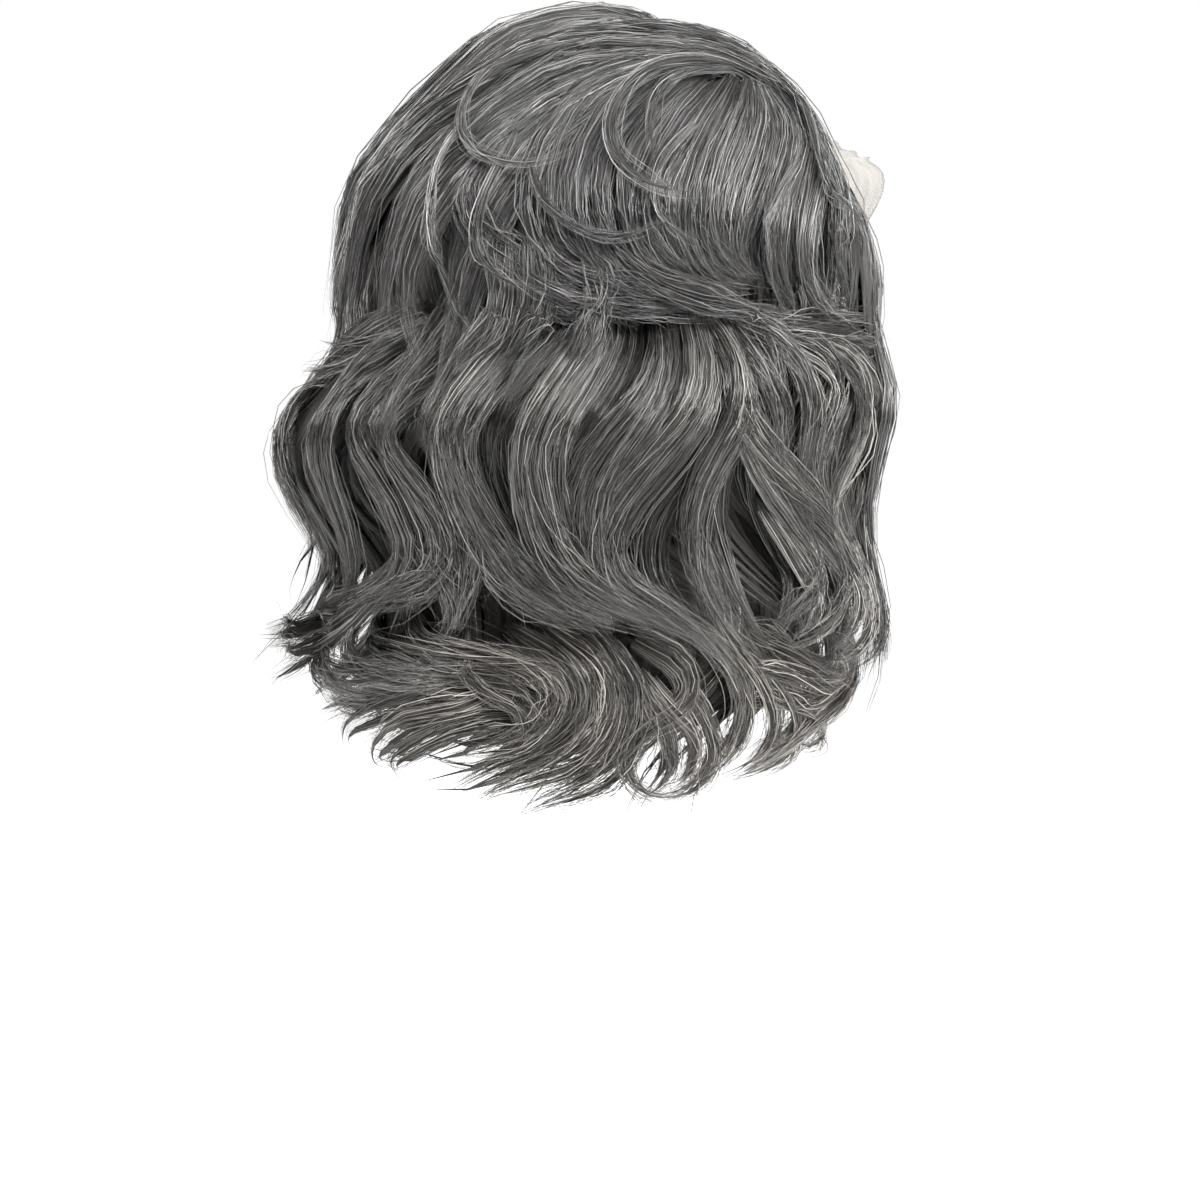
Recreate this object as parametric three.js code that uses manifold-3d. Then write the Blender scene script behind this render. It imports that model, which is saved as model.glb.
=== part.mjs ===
// Long curly wig: a stretch cap, a lace strip along its front hairline, and wavy hair sewn on in layers.
// Millimetres, +Z up. The origin is the top of the head inside the cap.
// The wearer faces -Y, and +X is their left.
// A bearing is in degrees round the head: 0 at the back, 90 at the wearer's left, -90 at their right.
// A drop is in millimetres down the head from its widest level, so it is negative above that level.
import * as THREE from 'three';
import Module from 'manifold-3d';

const wasm = await Module();
wasm.setup();

// The head that the cap fits: half an ellipsoid above its widest level, nearly upright below.
// Its half width, half depth and height, and the mean radius that turns lengths along it into angles
const HEAD = new THREE.Vector3(77, 96, 113);
const HEAD_ARC = 92;
const NECK_TUCK = { share: 0.1, from: 0, to: 70 };

// Cap wall and the small gaps between sewn pieces
const CAP_WALL = 1.5;
const SEAM_GAP = 0.4;
const LAYER_GAP = 1;
const FIT_GROWTH = 0.45;

// Lower edge of the cap on each side, from the back of the neck over the ear to the forehead
const CAP_RIM = [
  { bearing: 0, drop: 62 },
  { bearing: 35, drop: 48 },
  { bearing: 60, drop: 14 },
  { bearing: 78, drop: -10 },
  { bearing: 95, drop: -4 },
  { bearing: 106, drop: -2 },
  { bearing: 118, drop: -20 },
  { bearing: 140, drop: -52 },
  { bearing: 180, drop: -66 },
];

// Lace strip, left long at the wearer's right temple, where it stands away from the head
const LACE_THICK = 1;
const LACE_END = 130;
const LACE_WIDTH = 18;
const LACE_SEAT = 0.25;
const LACE_FLARE = 6;
const LACE_FLARE_BEND = 1.3;
const LONG_LACE_FLARE = 26;
const LONG_LACE_TURN_UP = 9;
const LONG_LACE_BEGINS = { from: 132, to: 142 };
const LONG_LACE_ENDS = { from: 154, to: 168 };

// Thickness of the hair layers, which thin out towards the face, and the woven bands that they are sewn to
const LAYER_THICK = { nape: 13, mid: 16, crown: 10 };
const FACE_EDGE = { thinning: 0.5, from: 92, to: 126 };
const FACE_BARE = { from: 126, to: 150 };
const NAPE_ROOT_LOWEST = 16;
const NAPE_ROOT_ABOVE_RIM = 14;
const NAPE_OVERLAP = 30;
const MID_OVERLAP = { from: -85, to: -20 };
const BAND = { thick: 3, width: 14, columnAngle: 20, fewestColumns: 4 };
const BAND_BELOW_ROOTS = 4;
const FRONT_BAND_ABOVE_RIM = 9;

// Fall of the hanging hair: it stands out below the ears, gathers in lower down and waves in and out,
// deeper on the wearer's left and later there than on the right
const SPREAD = { share: 0.05, from: 0, to: 50 };
const GATHER = { share: 0.16, from: 130, to: 210 };
const WAVE = { depth: 9, leftExtra: 4, pitch: 112, start: 10, slant: 19, slantTurn: 0.2 };
const WAVE_GROWS = { from: -10, to: 40 };

// Form of one lock along its length: full after its root, waving, lifted and tapered at its tip
const LOCK_SIDES = 6;
const ROOT_LENGTH = { from: 0, to: 50 };
const SWING_GROWS = { from: 0, to: 45 };
const TIP_SHARE = 0.14;
const TIP_TAPER = { from: 0.62, to: 1 };
const TIP_LIFT = { from: 0.7, to: 1 };
const PUFF_RISES = { from: 0, to: 0.35 };
const PUFF_FALLS = { from: 0.5, to: 1 };

// Lowest layer, sewn round the back of the neck, one row for each lock
const NAPE_LOCKS = [
  { hang: -108, reach: 204, waveAt: -18, curl: 30, lift: 4, width: 38 },
  { hang: -85, reach: 216, waveAt: -10, curl: 30, lift: 2, width: 44 },
  { hang: -62, reach: 222, waveAt: -6, curl: 55, lift: 0, width: 44 },
  { hang: -39, reach: 231, waveAt: -3, curl: 95, lift: 0, width: 44 },
  { hang: -16, reach: 229, waveAt: 0, curl: 85, lift: 0, width: 44 },
  { hang: 7, reach: 216, waveAt: 0, curl: 75, lift: 2, width: 44 },
  { hang: 30, reach: 200, waveAt: 3, curl: 65, lift: 6, width: 44 },
  { hang: 53, reach: 188, waveAt: 6, curl: 60, lift: 17, width: 44 },
  { hang: 76, reach: 188, waveAt: 2, curl: 45, lift: 16, width: 44 },
  { hang: 99, reach: 190, waveAt: -8, curl: -50, lift: 6, width: 38 },
];

// Middle layer, sewn in a row above the ears: right side, back and left side
const RIGHT_SIDE_LOCKS = [
  { hang: -120, reach: 168, swing: 24, waveAt: -16, curl: 40, lift: 2, width: 22 },
  { hang: -104, reach: 158, swing: 34, waveAt: -12, curl: 50, lift: 4, width: 34 },
  { hang: -86, reach: 156, swing: 40, waveAt: -7, curl: 20, lift: 2, width: 38 },
  { hang: -68, reach: 157, swing: 43, waveAt: -2, curl: -35, lift: 2, width: 38 },
];
const BACK_LOCKS = [
  { hang: -50, reach: 160, swing: 46, waveAt: 2, curl: -50, lift: 2, width: 38 },
  { hang: -32, reach: 162, swing: 46, waveAt: 2, curl: -50, lift: 2, width: 38 },
  { hang: -14, reach: 160, swing: 46, waveAt: 4, curl: -50, lift: 2, width: 38 },
  { hang: 4, reach: 158, swing: 44, waveAt: 4, curl: -45, lift: 2, width: 38 },
  { hang: 22, reach: 156, swing: 42, waveAt: 6, curl: -20, lift: 4, width: 38 },
  { hang: 40, reach: 156, swing: 40, waveAt: 8, curl: 60, lift: 16, width: 38 },
];
const LEFT_SIDE_LOCKS = [
  { hang: 58, reach: 158, swing: 37, waveAt: 9, curl: 75, lift: 32, width: 38 },
  { hang: 76, reach: 156, swing: 35, waveAt: 6, curl: 65, lift: 26, width: 38 },
  { hang: 93, reach: 156, swing: 33, waveAt: -2, curl: -40, lift: 10, width: 36 },
  { hang: 108, reach: 160, swing: 29, waveAt: -10, curl: -45, lift: 4, width: 30 },
  { hang: 120, reach: 168, swing: 24, waveAt: -16, curl: -40, lift: 2, width: 22 },
];

// Top layer, fanned out from the end of the side parting
const CROWN_LOCKS = [
  { root: -130, rootDrop: -83, hang: -94, reach: 16, curl: 40, puff: 11, width: 43 },
  { root: -119, rootDrop: -91, hang: -73, reach: 12, curl: 20, puff: 16, width: 45 },
  { root: -112, rootDrop: -96, hang: -52, reach: 5, curl: -60, puff: 13, width: 46 },
  { root: -112, rootDrop: -98, hang: -31, reach: -2, curl: -80, puff: 8, width: 48 },
  { root: -113, rootDrop: -98, hang: -10, reach: -5, curl: -85, puff: 5, width: 49 },
  { root: -115, rootDrop: -97, hang: 11, reach: -5, curl: -75, puff: 4, width: 50 },
  { root: -119, rootDrop: -95, hang: 32, reach: 4, curl: -40, puff: 5, width: 51 },
  { root: -125, rootDrop: -92, hang: 53, reach: 24, curl: 40, puff: 6, width: 51 },
  { root: -132, rootDrop: -87, hang: 74, reach: 30, curl: 50, puff: 4, width: 51 },
  { root: -141, rootDrop: -82, hang: 95, reach: 24, curl: 40, puff: 6, width: 48 },
];

// Front layer, rooted along the hairline on both sides of the parting, with a thin long lock at each temple
const FRONT_LOCKS = [
  { root: -131, rootDrop: -46, hang: -116, reach: 150, curl: 40, puff: 4, width: 16 },
  { root: -142, rootDrop: -58, hang: -109, reach: 44, curl: 40, puff: 7, width: 34 },
  { root: -151, rootDrop: -68, hang: -101, reach: 30, curl: 40, puff: 9, width: 36 },
  { root: -157, rootDrop: -71, hang: 102, reach: 34, curl: -40, puff: 13, width: 40 },
  { root: 178, rootDrop: -70, hang: 110, reach: 48, curl: -40, puff: 14, width: 40 },
  { root: 154, rootDrop: -64, hang: 117, reach: 64, curl: -40, puff: 7, width: 36 },
  { root: 134, rootDrop: -48, hang: 121, reach: 150, curl: -40, puff: 3, width: 18 },
];

// How each layer is combed: sideways swing of the wave, its pitch, and the share of the length that curls
const NAPE_COMB = {
  layer: 'nape', via: 60, swing: 38, pitch: 122, curlShare: 0.34, rootShare: 0.4, steps: 9,
};
const MID_COMB = {
  layer: 'mid', rootDrop: -50, via: 74, pitch: 124, curlShare: 0.22, rootShare: 0.4, steps: 9,
};
const CROWN_COMB = {
  layer: 'crown', via: 46, swing: 8, pitch: 120, waveAt: -60, curlShare: 0.34, rootShare: 0.75, steps: 8,
};
const FRONT_COMB = {
  layer: 'crown', via: 50, swing: 20, pitch: 124, waveAt: -10, curlShare: 0.3, rootShare: 0.5, steps: 8,
};

// Mathematics of the head and of the way that hair lies on it
const toRadians = THREE.MathUtils.degToRad;
const toDegrees = THREE.MathUtils.radToDeg;

function smooth(value, range) {
  return THREE.MathUtils.smoothstep(value, range.from, range.to);
}

function direction(polar, bearing) {
  const flat = Math.sin(toRadians(polar));
  const turn = toRadians(bearing);
  return new THREE.Vector3(flat * Math.sin(turn), flat * Math.cos(turn), Math.cos(toRadians(polar)));
}

function polarOf(drop) {
  return 90 + toDegrees(Math.min(drop, 0) / HEAD_ARC);
}

function awayFromBack(bearing) {
  return Math.abs(THREE.MathUtils.euclideanModulo(bearing + 180, 360) - 180);
}

function rimDrop(bearing) {
  const away = awayFromBack(bearing);
  const next = Math.max(1, CAP_RIM.findIndex((row) => away <= row.bearing));
  const here = CAP_RIM[next - 1];
  const there = CAP_RIM[next];
  const share = smooth(away, { from: here.bearing, to: there.bearing });
  return THREE.MathUtils.lerp(here.drop, there.drop, share);
}

function napeRootDrop(bearing) {
  return Math.min(NAPE_ROOT_LOWEST, rimDrop(bearing) - NAPE_ROOT_ABOVE_RIM);
}

function fullness(bearing) {
  return 1 - FACE_EDGE.thinning * smooth(awayFromBack(bearing), FACE_EDGE);
}

function outward(toward, drop) {
  const level = drop > 0 ? 0 : toward.z / HEAD.z;
  return new THREE.Vector3(toward.x / HEAD.x, toward.y / HEAD.y, level).normalize();
}

function pointOff(toward, drop, girth, offset) {
  const point = toward.clone().multiply(HEAD);
  point.x *= girth;
  point.y *= girth;
  point.z -= HEAD.z + Math.max(drop, 0);
  return point.addScaledVector(outward(toward, drop), offset);
}

function headPoint(toward, drop, offset) {
  return pointOff(toward, drop, 1 - NECK_TUCK.share * smooth(drop, NECK_TUCK), offset);
}

function hairPoint(toward, drop, offset) {
  const girth = 1 + SPREAD.share * smooth(drop, SPREAD) - GATHER.share * smooth(drop, GATHER);
  const turn = Math.atan2(toward.x, toward.y);
  const depth = (WAVE.depth + WAVE.leftExtra * Math.sin(turn)) * smooth(drop, WAVE_GROWS);
  const phase = (drop - WAVE.start - WAVE.slant * Math.sin(turn + WAVE.slantTurn)) / WAVE.pitch;
  const wave = drop > 0 ? depth * Math.sin(2 * Math.PI * phase) : 0;
  return pointOff(toward, drop, girth, offset + wave);
}

// Height of a layer's underside above the head, over the layers sewn below it
function layerBase(layer, bearing, drop) {
  const below = 1 - smooth(awayFromBack(bearing), FACE_BARE);
  let base = CAP_WALL + SEAM_GAP;
  if (layer !== 'nape') {
    const root = napeRootDrop(bearing);
    const overlap = smooth(drop, { from: root - NAPE_OVERLAP, to: root + NAPE_OVERLAP });
    base += below * overlap * (LAYER_THICK.nape * fullness(bearing) + LAYER_GAP);
  }
  if (layer === 'crown') {
    const overlap = smooth(drop, MID_OVERLAP);
    base += below * overlap * (LAYER_THICK.mid * fullness(bearing) + LAYER_GAP);
  }
  return base;
}

// The way a lock is combed: over the head from its root, then straight down at its hanging bearing
class CombedWay {
  constructor(lock) {
    this.hang = lock.hang;
    this.over = -lock.rootDrop;
    this.points = [];
    if (lock.rootDrop < 0) {
      const polar = polarOf(lock.rootDrop);
      const via = direction(Math.max(lock.via, (polar + 90) / 2), lock.hang);
      const start = direction(polar, lock.root);
      const arc = new THREE.QuadraticBezierCurve3(start, via, direction(90, lock.hang));
      this.points = arc.getPoints(48).map((point) => point.normalize());
      this.along = [0];
      for (let i = 1; i < this.points.length; i += 1) {
        const step = this.points[i].distanceTo(this.points[i - 1]) * HEAD_ARC;
        this.along.push(this.along[i - 1] + step);
      }
      this.over = this.along[this.along.length - 1];
    }
  }

  at(distance, sideways) {
    const drop = distance - this.over;
    if (drop >= 0 || this.points.length === 0) {
      const bearing = this.hang + toDegrees(sideways / HEAD_ARC);
      return { toward: direction(90, bearing), drop };
    }
    const reached = Math.max(distance, 0);
    const found = this.along.findIndex((length) => length > reached);
    const i = Math.max(1, found);
    const share = (reached - this.along[i - 1]) / (this.along[i] - this.along[i - 1]);
    const toward = this.points[i - 1].clone().lerp(this.points[i], share);
    const ahead = this.points[i].clone().sub(this.points[i - 1]);
    const side = ahead.cross(toward).normalize();
    return { toward: toward.addScaledVector(side, sideways / HEAD_ARC).normalize(), drop };
  }
}

// Closed geometry from triangles of points, with shared corners and no empty triangles
function closedGeometry(triangles) {
  const found = new Map();
  const positions = [];
  const index = [];
  const cornerOf = (point) => {
    const key = point.toArray().map((value) => Math.round(value * 1000)).join(' ');
    if (!found.has(key)) {
      found.set(key, positions.length / 3);
      positions.push(point.x, point.y, point.z);
    }
    return found.get(key);
  };
  for (const triangle of triangles) {
    const [a, b, c] = triangle.map(cornerOf);
    if (a !== b && b !== c && c !== a) {
      index.push(a, b, c);
    }
  }
  const geometry = new THREE.BufferGeometry();
  geometry.setAttribute('position', new THREE.Float32BufferAttribute(positions, 3));
  geometry.setIndex(index);
  return geometry;
}

function quad(a, b, c, d) {
  return [[a, b, c], [a, c, d]];
}

// Wall between an outer and an inner grid of points, closed round its edges
function wallGeometry(columns, rows, pointAt, goesRound) {
  const triangles = [];
  const outer = (i, j) => pointAt(i, j, 1);
  const inner = (i, j) => pointAt(i, j, 0);
  for (let i = 0; i < columns; i += 1) {
    for (let j = 0; j < rows; j += 1) {
      triangles.push(...quad(outer(i, j), outer(i, j + 1), outer(i + 1, j + 1), outer(i + 1, j)));
      triangles.push(...quad(inner(i, j), inner(i + 1, j), inner(i + 1, j + 1), inner(i, j + 1)));
    }
    triangles.push(...quad(outer(i, rows), inner(i, rows), inner(i + 1, rows), outer(i + 1, rows)));
    if (!goesRound) {
      triangles.push(...quad(outer(i, 0), outer(i + 1, 0), inner(i + 1, 0), inner(i, 0)));
    }
  }
  if (!goesRound) {
    for (let j = 0; j < rows; j += 1) {
      triangles.push(...quad(outer(0, j), inner(0, j), inner(0, j + 1), outer(0, j + 1)));
      const k = columns;
      triangles.push(...quad(outer(k, j), outer(k, j + 1), inner(k, j + 1), inner(k, j)));
    }
  }
  return closedGeometry(triangles);
}

function toSolid(geometry) {
  const vertProperties = new Float32Array(geometry.attributes.position.array);
  const triVerts = new Uint32Array(geometry.index.array);
  const solid = new wasm.Manifold(new wasm.Mesh({ numProp: 3, vertProperties, triVerts }));
  if (solid.volume() > 0) {
    return solid;
  }
  for (let i = 0; i < triVerts.length; i += 3) {
    const second = triVerts[i + 1];
    triVerts[i + 1] = triVerts[i + 2];
    triVerts[i + 2] = second;
  }
  return new wasm.Manifold(new wasm.Mesh({ numProp: 3, vertProperties, triVerts }));
}

function toMesh(solid, name, material) {
  const { vertProperties, triVerts } = solid.getMesh();
  const geometry = new THREE.BufferGeometry();
  geometry.setAttribute('position', new THREE.Float32BufferAttribute(vertProperties, 3));
  geometry.setIndex(Array.from(triVerts));
  geometry.computeVertexNormals();
  const mesh = new THREE.Mesh(geometry, material);
  mesh.name = name;
  return mesh;
}

// Stretch cap, thin all over, cut out round the ears and low at the back of the neck
function makeCap(growth) {
  const columns = 28;
  const rows = 6;
  const apexDrop = -HEAD_ARC * Math.PI / 2;
  const pointAt = (i, j, side) => {
    const bearing = (i % columns) * 360 / columns;
    const drop = THREE.MathUtils.lerp(apexDrop, rimDrop(bearing) + growth, j / rows);
    const offset = side === 1 ? CAP_WALL + growth : -growth;
    return headPoint(direction(polarOf(drop), bearing), drop, offset);
  };
  return toSolid(wallGeometry(columns, rows, pointAt, true));
}

// Lace strip from temple to temple, hanging on from the front edge of the cap
function makeLace(growth) {
  const columns = 18;
  const rows = 3;
  const margin = toDegrees(2 * growth / HEAD_ARC);
  const pointAt = (i, j, side) => {
    const bearing = THREE.MathUtils.lerp(LACE_END - margin, 360 - LACE_END + margin, i / columns);
    const fromRight = 360 - bearing;
    const long = smooth(fromRight, LONG_LACE_BEGINS) * (1 - smooth(fromRight, LONG_LACE_ENDS));
    const width = LACE_WIDTH - LONG_LACE_TURN_UP * long + growth;
    const flare = LACE_FLARE + LONG_LACE_FLARE * long;
    const across = j / rows;
    const drop = rimDrop(bearing) + SEAM_GAP - growth + (width + growth) * across;
    const lift = LACE_SEAT + flare * across ** LACE_FLARE_BEND;
    const offset = side === 1 ? lift + LACE_THICK + 2 * growth : lift - 2 * growth;
    return headPoint(direction(polarOf(drop), bearing), drop, offset);
  };
  return toSolid(wallGeometry(columns, rows, pointAt, false));
}

// Narrow woven band that the roots of a layer are sewn to
function makeBand(fromBearing, toBearing, dropAt, growth) {
  const columns = Math.max(BAND.fewestColumns, Math.round((toBearing - fromBearing) / BAND.columnAngle));
  const margin = toDegrees(growth / HEAD_ARC);
  const pointAt = (i, j, side) => {
    const bearing = THREE.MathUtils.lerp(fromBearing - margin, toBearing + margin, i / columns);
    const drop = dropAt(bearing) + (BAND.width + 2 * growth) * (j - 0.5);
    const seat = CAP_WALL + SEAM_GAP;
    const offset = side === 1 ? seat + BAND.thick + growth : seat - growth;
    return headPoint(direction(polarOf(drop), bearing), drop, offset);
  };
  return toSolid(wallGeometry(columns, 1, pointAt, false));
}

// One lock: a flat oval swept along its combed way, waving from side to side and curling at the tip
function makeLock(row, comb, growth) {
  const lock = { lift: 0, puff: 0, root: row.hang, ...comb, ...row };
  const way = new CombedWay(lock);
  const length = way.over + lock.reach;
  const { steps } = lock;
  const step = length / steps;
  const centres = [];
  const sizes = [];
  const normals = [];
  let distance = 0;
  let sideways = 0;
  for (let i = 0; i <= steps; i += 1) {
    const share = i / steps;
    const { toward, drop } = way.at(distance, sideways);
    const bearing = toDegrees(Math.atan2(toward.x, toward.y));
    const rooted = lock.rootShare + (1 - lock.rootShare) * smooth(i * step, ROOT_LENGTH);
    const full = LAYER_THICK[lock.layer] * fullness(bearing);
    const tip = 1 - (1 - TIP_SHARE) * smooth(share, TIP_TAPER);
    const puff = lock.puff * smooth(share, PUFF_RISES) * (1 - smooth(share, PUFF_FALLS));
    const raise = lock.lift * smooth(share, TIP_LIFT) + puff;
    const offset = layerBase(lock.layer, bearing, drop) + full * rooted / 2 + raise;
    centres.push(hairPoint(toward, drop, offset));
    normals.push(outward(toward, drop));
    sizes.push({ width: lock.width * rooted ** 0.5 * tip, thick: full * rooted * tip });
    const wave = Math.sin(2 * Math.PI * (drop - lock.waveAt) / lock.pitch);
    const curl = lock.curl * smooth(share, { from: 1 - lock.curlShare, to: 1 });
    const heading = toRadians(lock.swing * smooth(i * step, SWING_GROWS) * wave + curl);
    distance += Math.cos(heading) * step;
    sideways += Math.sin(heading) * step;
  }
  const rings = centres.map((centre, i) => {
    const before = centres[Math.max(0, i - 1)];
    const after = centres[Math.min(steps, i + 1)];
    const along = after.clone().sub(before).normalize();
    const across = along.clone().cross(normals[i]).normalize();
    const up = across.clone().cross(along).normalize();
    const shift = i === 0 ? -growth : i === steps ? growth : 0;
    return Array.from({ length: LOCK_SIDES }, (_, k) => {
      const turn = 2 * Math.PI * k / LOCK_SIDES;
      const point = centre.clone().addScaledVector(along, shift);
      point.addScaledVector(across, (sizes[i].width / 2 + growth) * Math.cos(turn));
      return point.addScaledVector(up, (sizes[i].thick / 2 + growth) * Math.sin(turn));
    });
  });
  const triangles = [];
  for (let i = 0; i < steps; i += 1) {
    for (let k = 0; k < LOCK_SIDES; k += 1) {
      const m = (k + 1) % LOCK_SIDES;
      triangles.push(...quad(rings[i][k], rings[i][m], rings[i + 1][m], rings[i + 1][k]));
    }
  }
  for (let k = 1; k < LOCK_SIDES - 1; k += 1) {
    const end = rings[steps];
    triangles.push([rings[0][0], rings[0][k + 1], rings[0][k]]);
    triangles.push([end[0], end[k], end[k + 1]]);
  }
  return toSolid(closedGeometry(triangles));
}

function joined(solids) {
  return solids.reduce((sum, solid) => sum.add(solid));
}

function largest(solid) {
  return solid.decompose().reduce((best, piece) => (piece.volume() > best.volume() ? piece : best));
}

function makeNape(growth) {
  const locks = NAPE_LOCKS.map((row) => {
    return makeLock({ ...row, rootDrop: napeRootDrop(row.hang) }, NAPE_COMB, growth);
  });
  const band = makeBand(-113, 106, (bearing) => napeRootDrop(bearing) + BAND_BELOW_ROOTS, growth);
  return joined([band, ...locks]);
}

function makeMid(rows, fromBearing, toBearing, growth) {
  const band = makeBand(fromBearing, toBearing, () => MID_COMB.rootDrop + BAND_BELOW_ROOTS, growth);
  return joined([band, ...rows.map((row) => makeLock(row, MID_COMB, growth))]);
}

function makeRightSide(growth) {
  return makeMid(RIGHT_SIDE_LOCKS, -123, -60, growth);
}

function makeBack(growth) {
  return makeMid(BACK_LOCKS, -58, 48, growth);
}

function makeLeftSide(growth) {
  return makeMid(LEFT_SIDE_LOCKS, 50, 123, growth);
}

function makeCrown(growth) {
  return joined(CROWN_LOCKS.map((row) => makeLock(row, CROWN_COMB, growth)));
}

function makeFront(growth) {
  const band = makeBand(134, 229, (bearing) => rimDrop(bearing) - FRONT_BAND_ABOVE_RIM, growth);
  return joined([band, ...FRONT_LOCKS.map((row) => makeLock(row, FRONT_COMB, growth))]);
}

// Each piece as a maker of its solid, in the order in which they are sewn on
const PIECES = [
  { name: 'cap', colour: 0x4b4a49, rough: 0.85, make: makeCap },
  { name: 'lace_front', colour: 0xe9e6e0, rough: 0.8, make: makeLace },
  { name: 'nape_hair', colour: 0x55534f, rough: 0.5, make: makeNape },
  { name: 'back_hair', colour: 0x62605e, rough: 0.5, make: makeBack },
  { name: 'left_side_hair', colour: 0x5f5d5b, rough: 0.5, make: makeLeftSide },
  { name: 'right_side_hair', colour: 0x605e5c, rough: 0.5, make: makeRightSide },
  { name: 'crown_hair', colour: 0x6b6a69, rough: 0.5, make: makeCrown },
  { name: 'front_hair', colour: 0x6e6d6c, rough: 0.5, make: makeFront },
];

const wig = new THREE.Group();
wig.name = 'long_curly_wig';
const grown = [];
for (const piece of PIECES) {
  const clear = grown.reduce((solid, earlier) => solid.subtract(earlier), piece.make(0));
  const material = new THREE.MeshStandardMaterial({ color: piece.colour, roughness: piece.rough });
  wig.add(toMesh(largest(clear), piece.name, material));
  grown.push(piece.make(FIT_GROWTH));
}

export default wig;
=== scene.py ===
import math

import bpy
import numpy as np
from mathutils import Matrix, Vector


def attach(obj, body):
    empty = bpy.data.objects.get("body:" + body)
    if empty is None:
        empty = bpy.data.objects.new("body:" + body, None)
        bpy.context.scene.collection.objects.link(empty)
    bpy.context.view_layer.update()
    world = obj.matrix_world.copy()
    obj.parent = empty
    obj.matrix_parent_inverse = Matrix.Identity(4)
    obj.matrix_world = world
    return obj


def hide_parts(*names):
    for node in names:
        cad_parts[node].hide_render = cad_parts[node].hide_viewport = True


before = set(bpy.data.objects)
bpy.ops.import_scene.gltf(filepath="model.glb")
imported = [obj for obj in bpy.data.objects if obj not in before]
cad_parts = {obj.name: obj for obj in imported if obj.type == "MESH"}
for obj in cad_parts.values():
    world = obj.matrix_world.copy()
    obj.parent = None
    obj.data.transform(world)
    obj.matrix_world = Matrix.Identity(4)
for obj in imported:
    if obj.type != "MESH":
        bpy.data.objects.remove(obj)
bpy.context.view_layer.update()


# Stretch cap
# A thin dark net, knitted to stretch and sewn to the shape of a head. It is cut out round the ears and low at
# the back of the neck, and every row of hair is sewn to its outside.
HEAD = np.array([0.077, 0.096, 0.113])
HEAD_ARC = 0.092
NECK_TUCK = 0.1
CAP_WALL = 0.0015
SEAM_GAP = 0.0004
CAP_COLUMNS = 96
CAP_ROWS = 30
CAP_THREADS = (900.0, 340.0)
CAP_WEFTS = 88.0
TINY = 1e-9
CAP_RIM = np.array([
    # bearing, drop
    (0, 0.062), (35, 0.048), (60, 0.014), (78, -0.010), (95, -0.004),
    (106, -0.002), (118, -0.020), (140, -0.052), (180, -0.066),
])


def smooth(value, low, high):
    share = np.clip((value - low) / (high - low), 0.0, 1.0)
    return share * share * (3.0 - 2.0 * share)


def direction(polar, bearing):
    polar, bearing = np.broadcast_arrays(np.radians(polar), np.radians(bearing))
    flat = np.sin(polar)
    return np.stack([flat * np.sin(bearing), flat * np.cos(bearing), np.cos(polar)], axis=-1)


def polar_of(drop):
    return 90.0 + np.degrees(np.minimum(drop, 0.0) / HEAD_ARC)


def away_from_back(bearing):
    return np.abs((bearing + 180.0) % 360.0 - 180.0)


def rim_drop(bearing):
    away = away_from_back(np.asarray(bearing, dtype=float))
    after = np.clip(np.searchsorted(CAP_RIM[:, 0], away), 1, len(CAP_RIM) - 1)
    here, there = CAP_RIM[after - 1], CAP_RIM[after]
    return here[..., 1] + (there[..., 1] - here[..., 1]) * smooth(away, here[..., 0], there[..., 0])


def unit(vectors):
    return vectors / np.maximum(np.linalg.norm(vectors, axis=-1, keepdims=True), TINY)


def outward(toward, drop):
    level = np.where(drop > 0.0, 0.0, toward[..., 2] / HEAD[2])
    return unit(np.stack([toward[..., 0] / HEAD[0], toward[..., 1] / HEAD[1], level], axis=-1))


def point_off(toward, drop, girth, offset):
    point = toward * HEAD
    point[..., :2] *= np.asarray(girth)[..., None]
    point[..., 2] -= HEAD[2] + np.maximum(drop, 0.0)
    return point + outward(toward, drop) * np.asarray(offset)[..., None]


def head_point(bearing, drop, offset):
    toward = direction(polar_of(drop), bearing)
    return point_off(toward, drop, 1.0 - NECK_TUCK * smooth(drop, 0.0, 0.07), offset)


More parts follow.
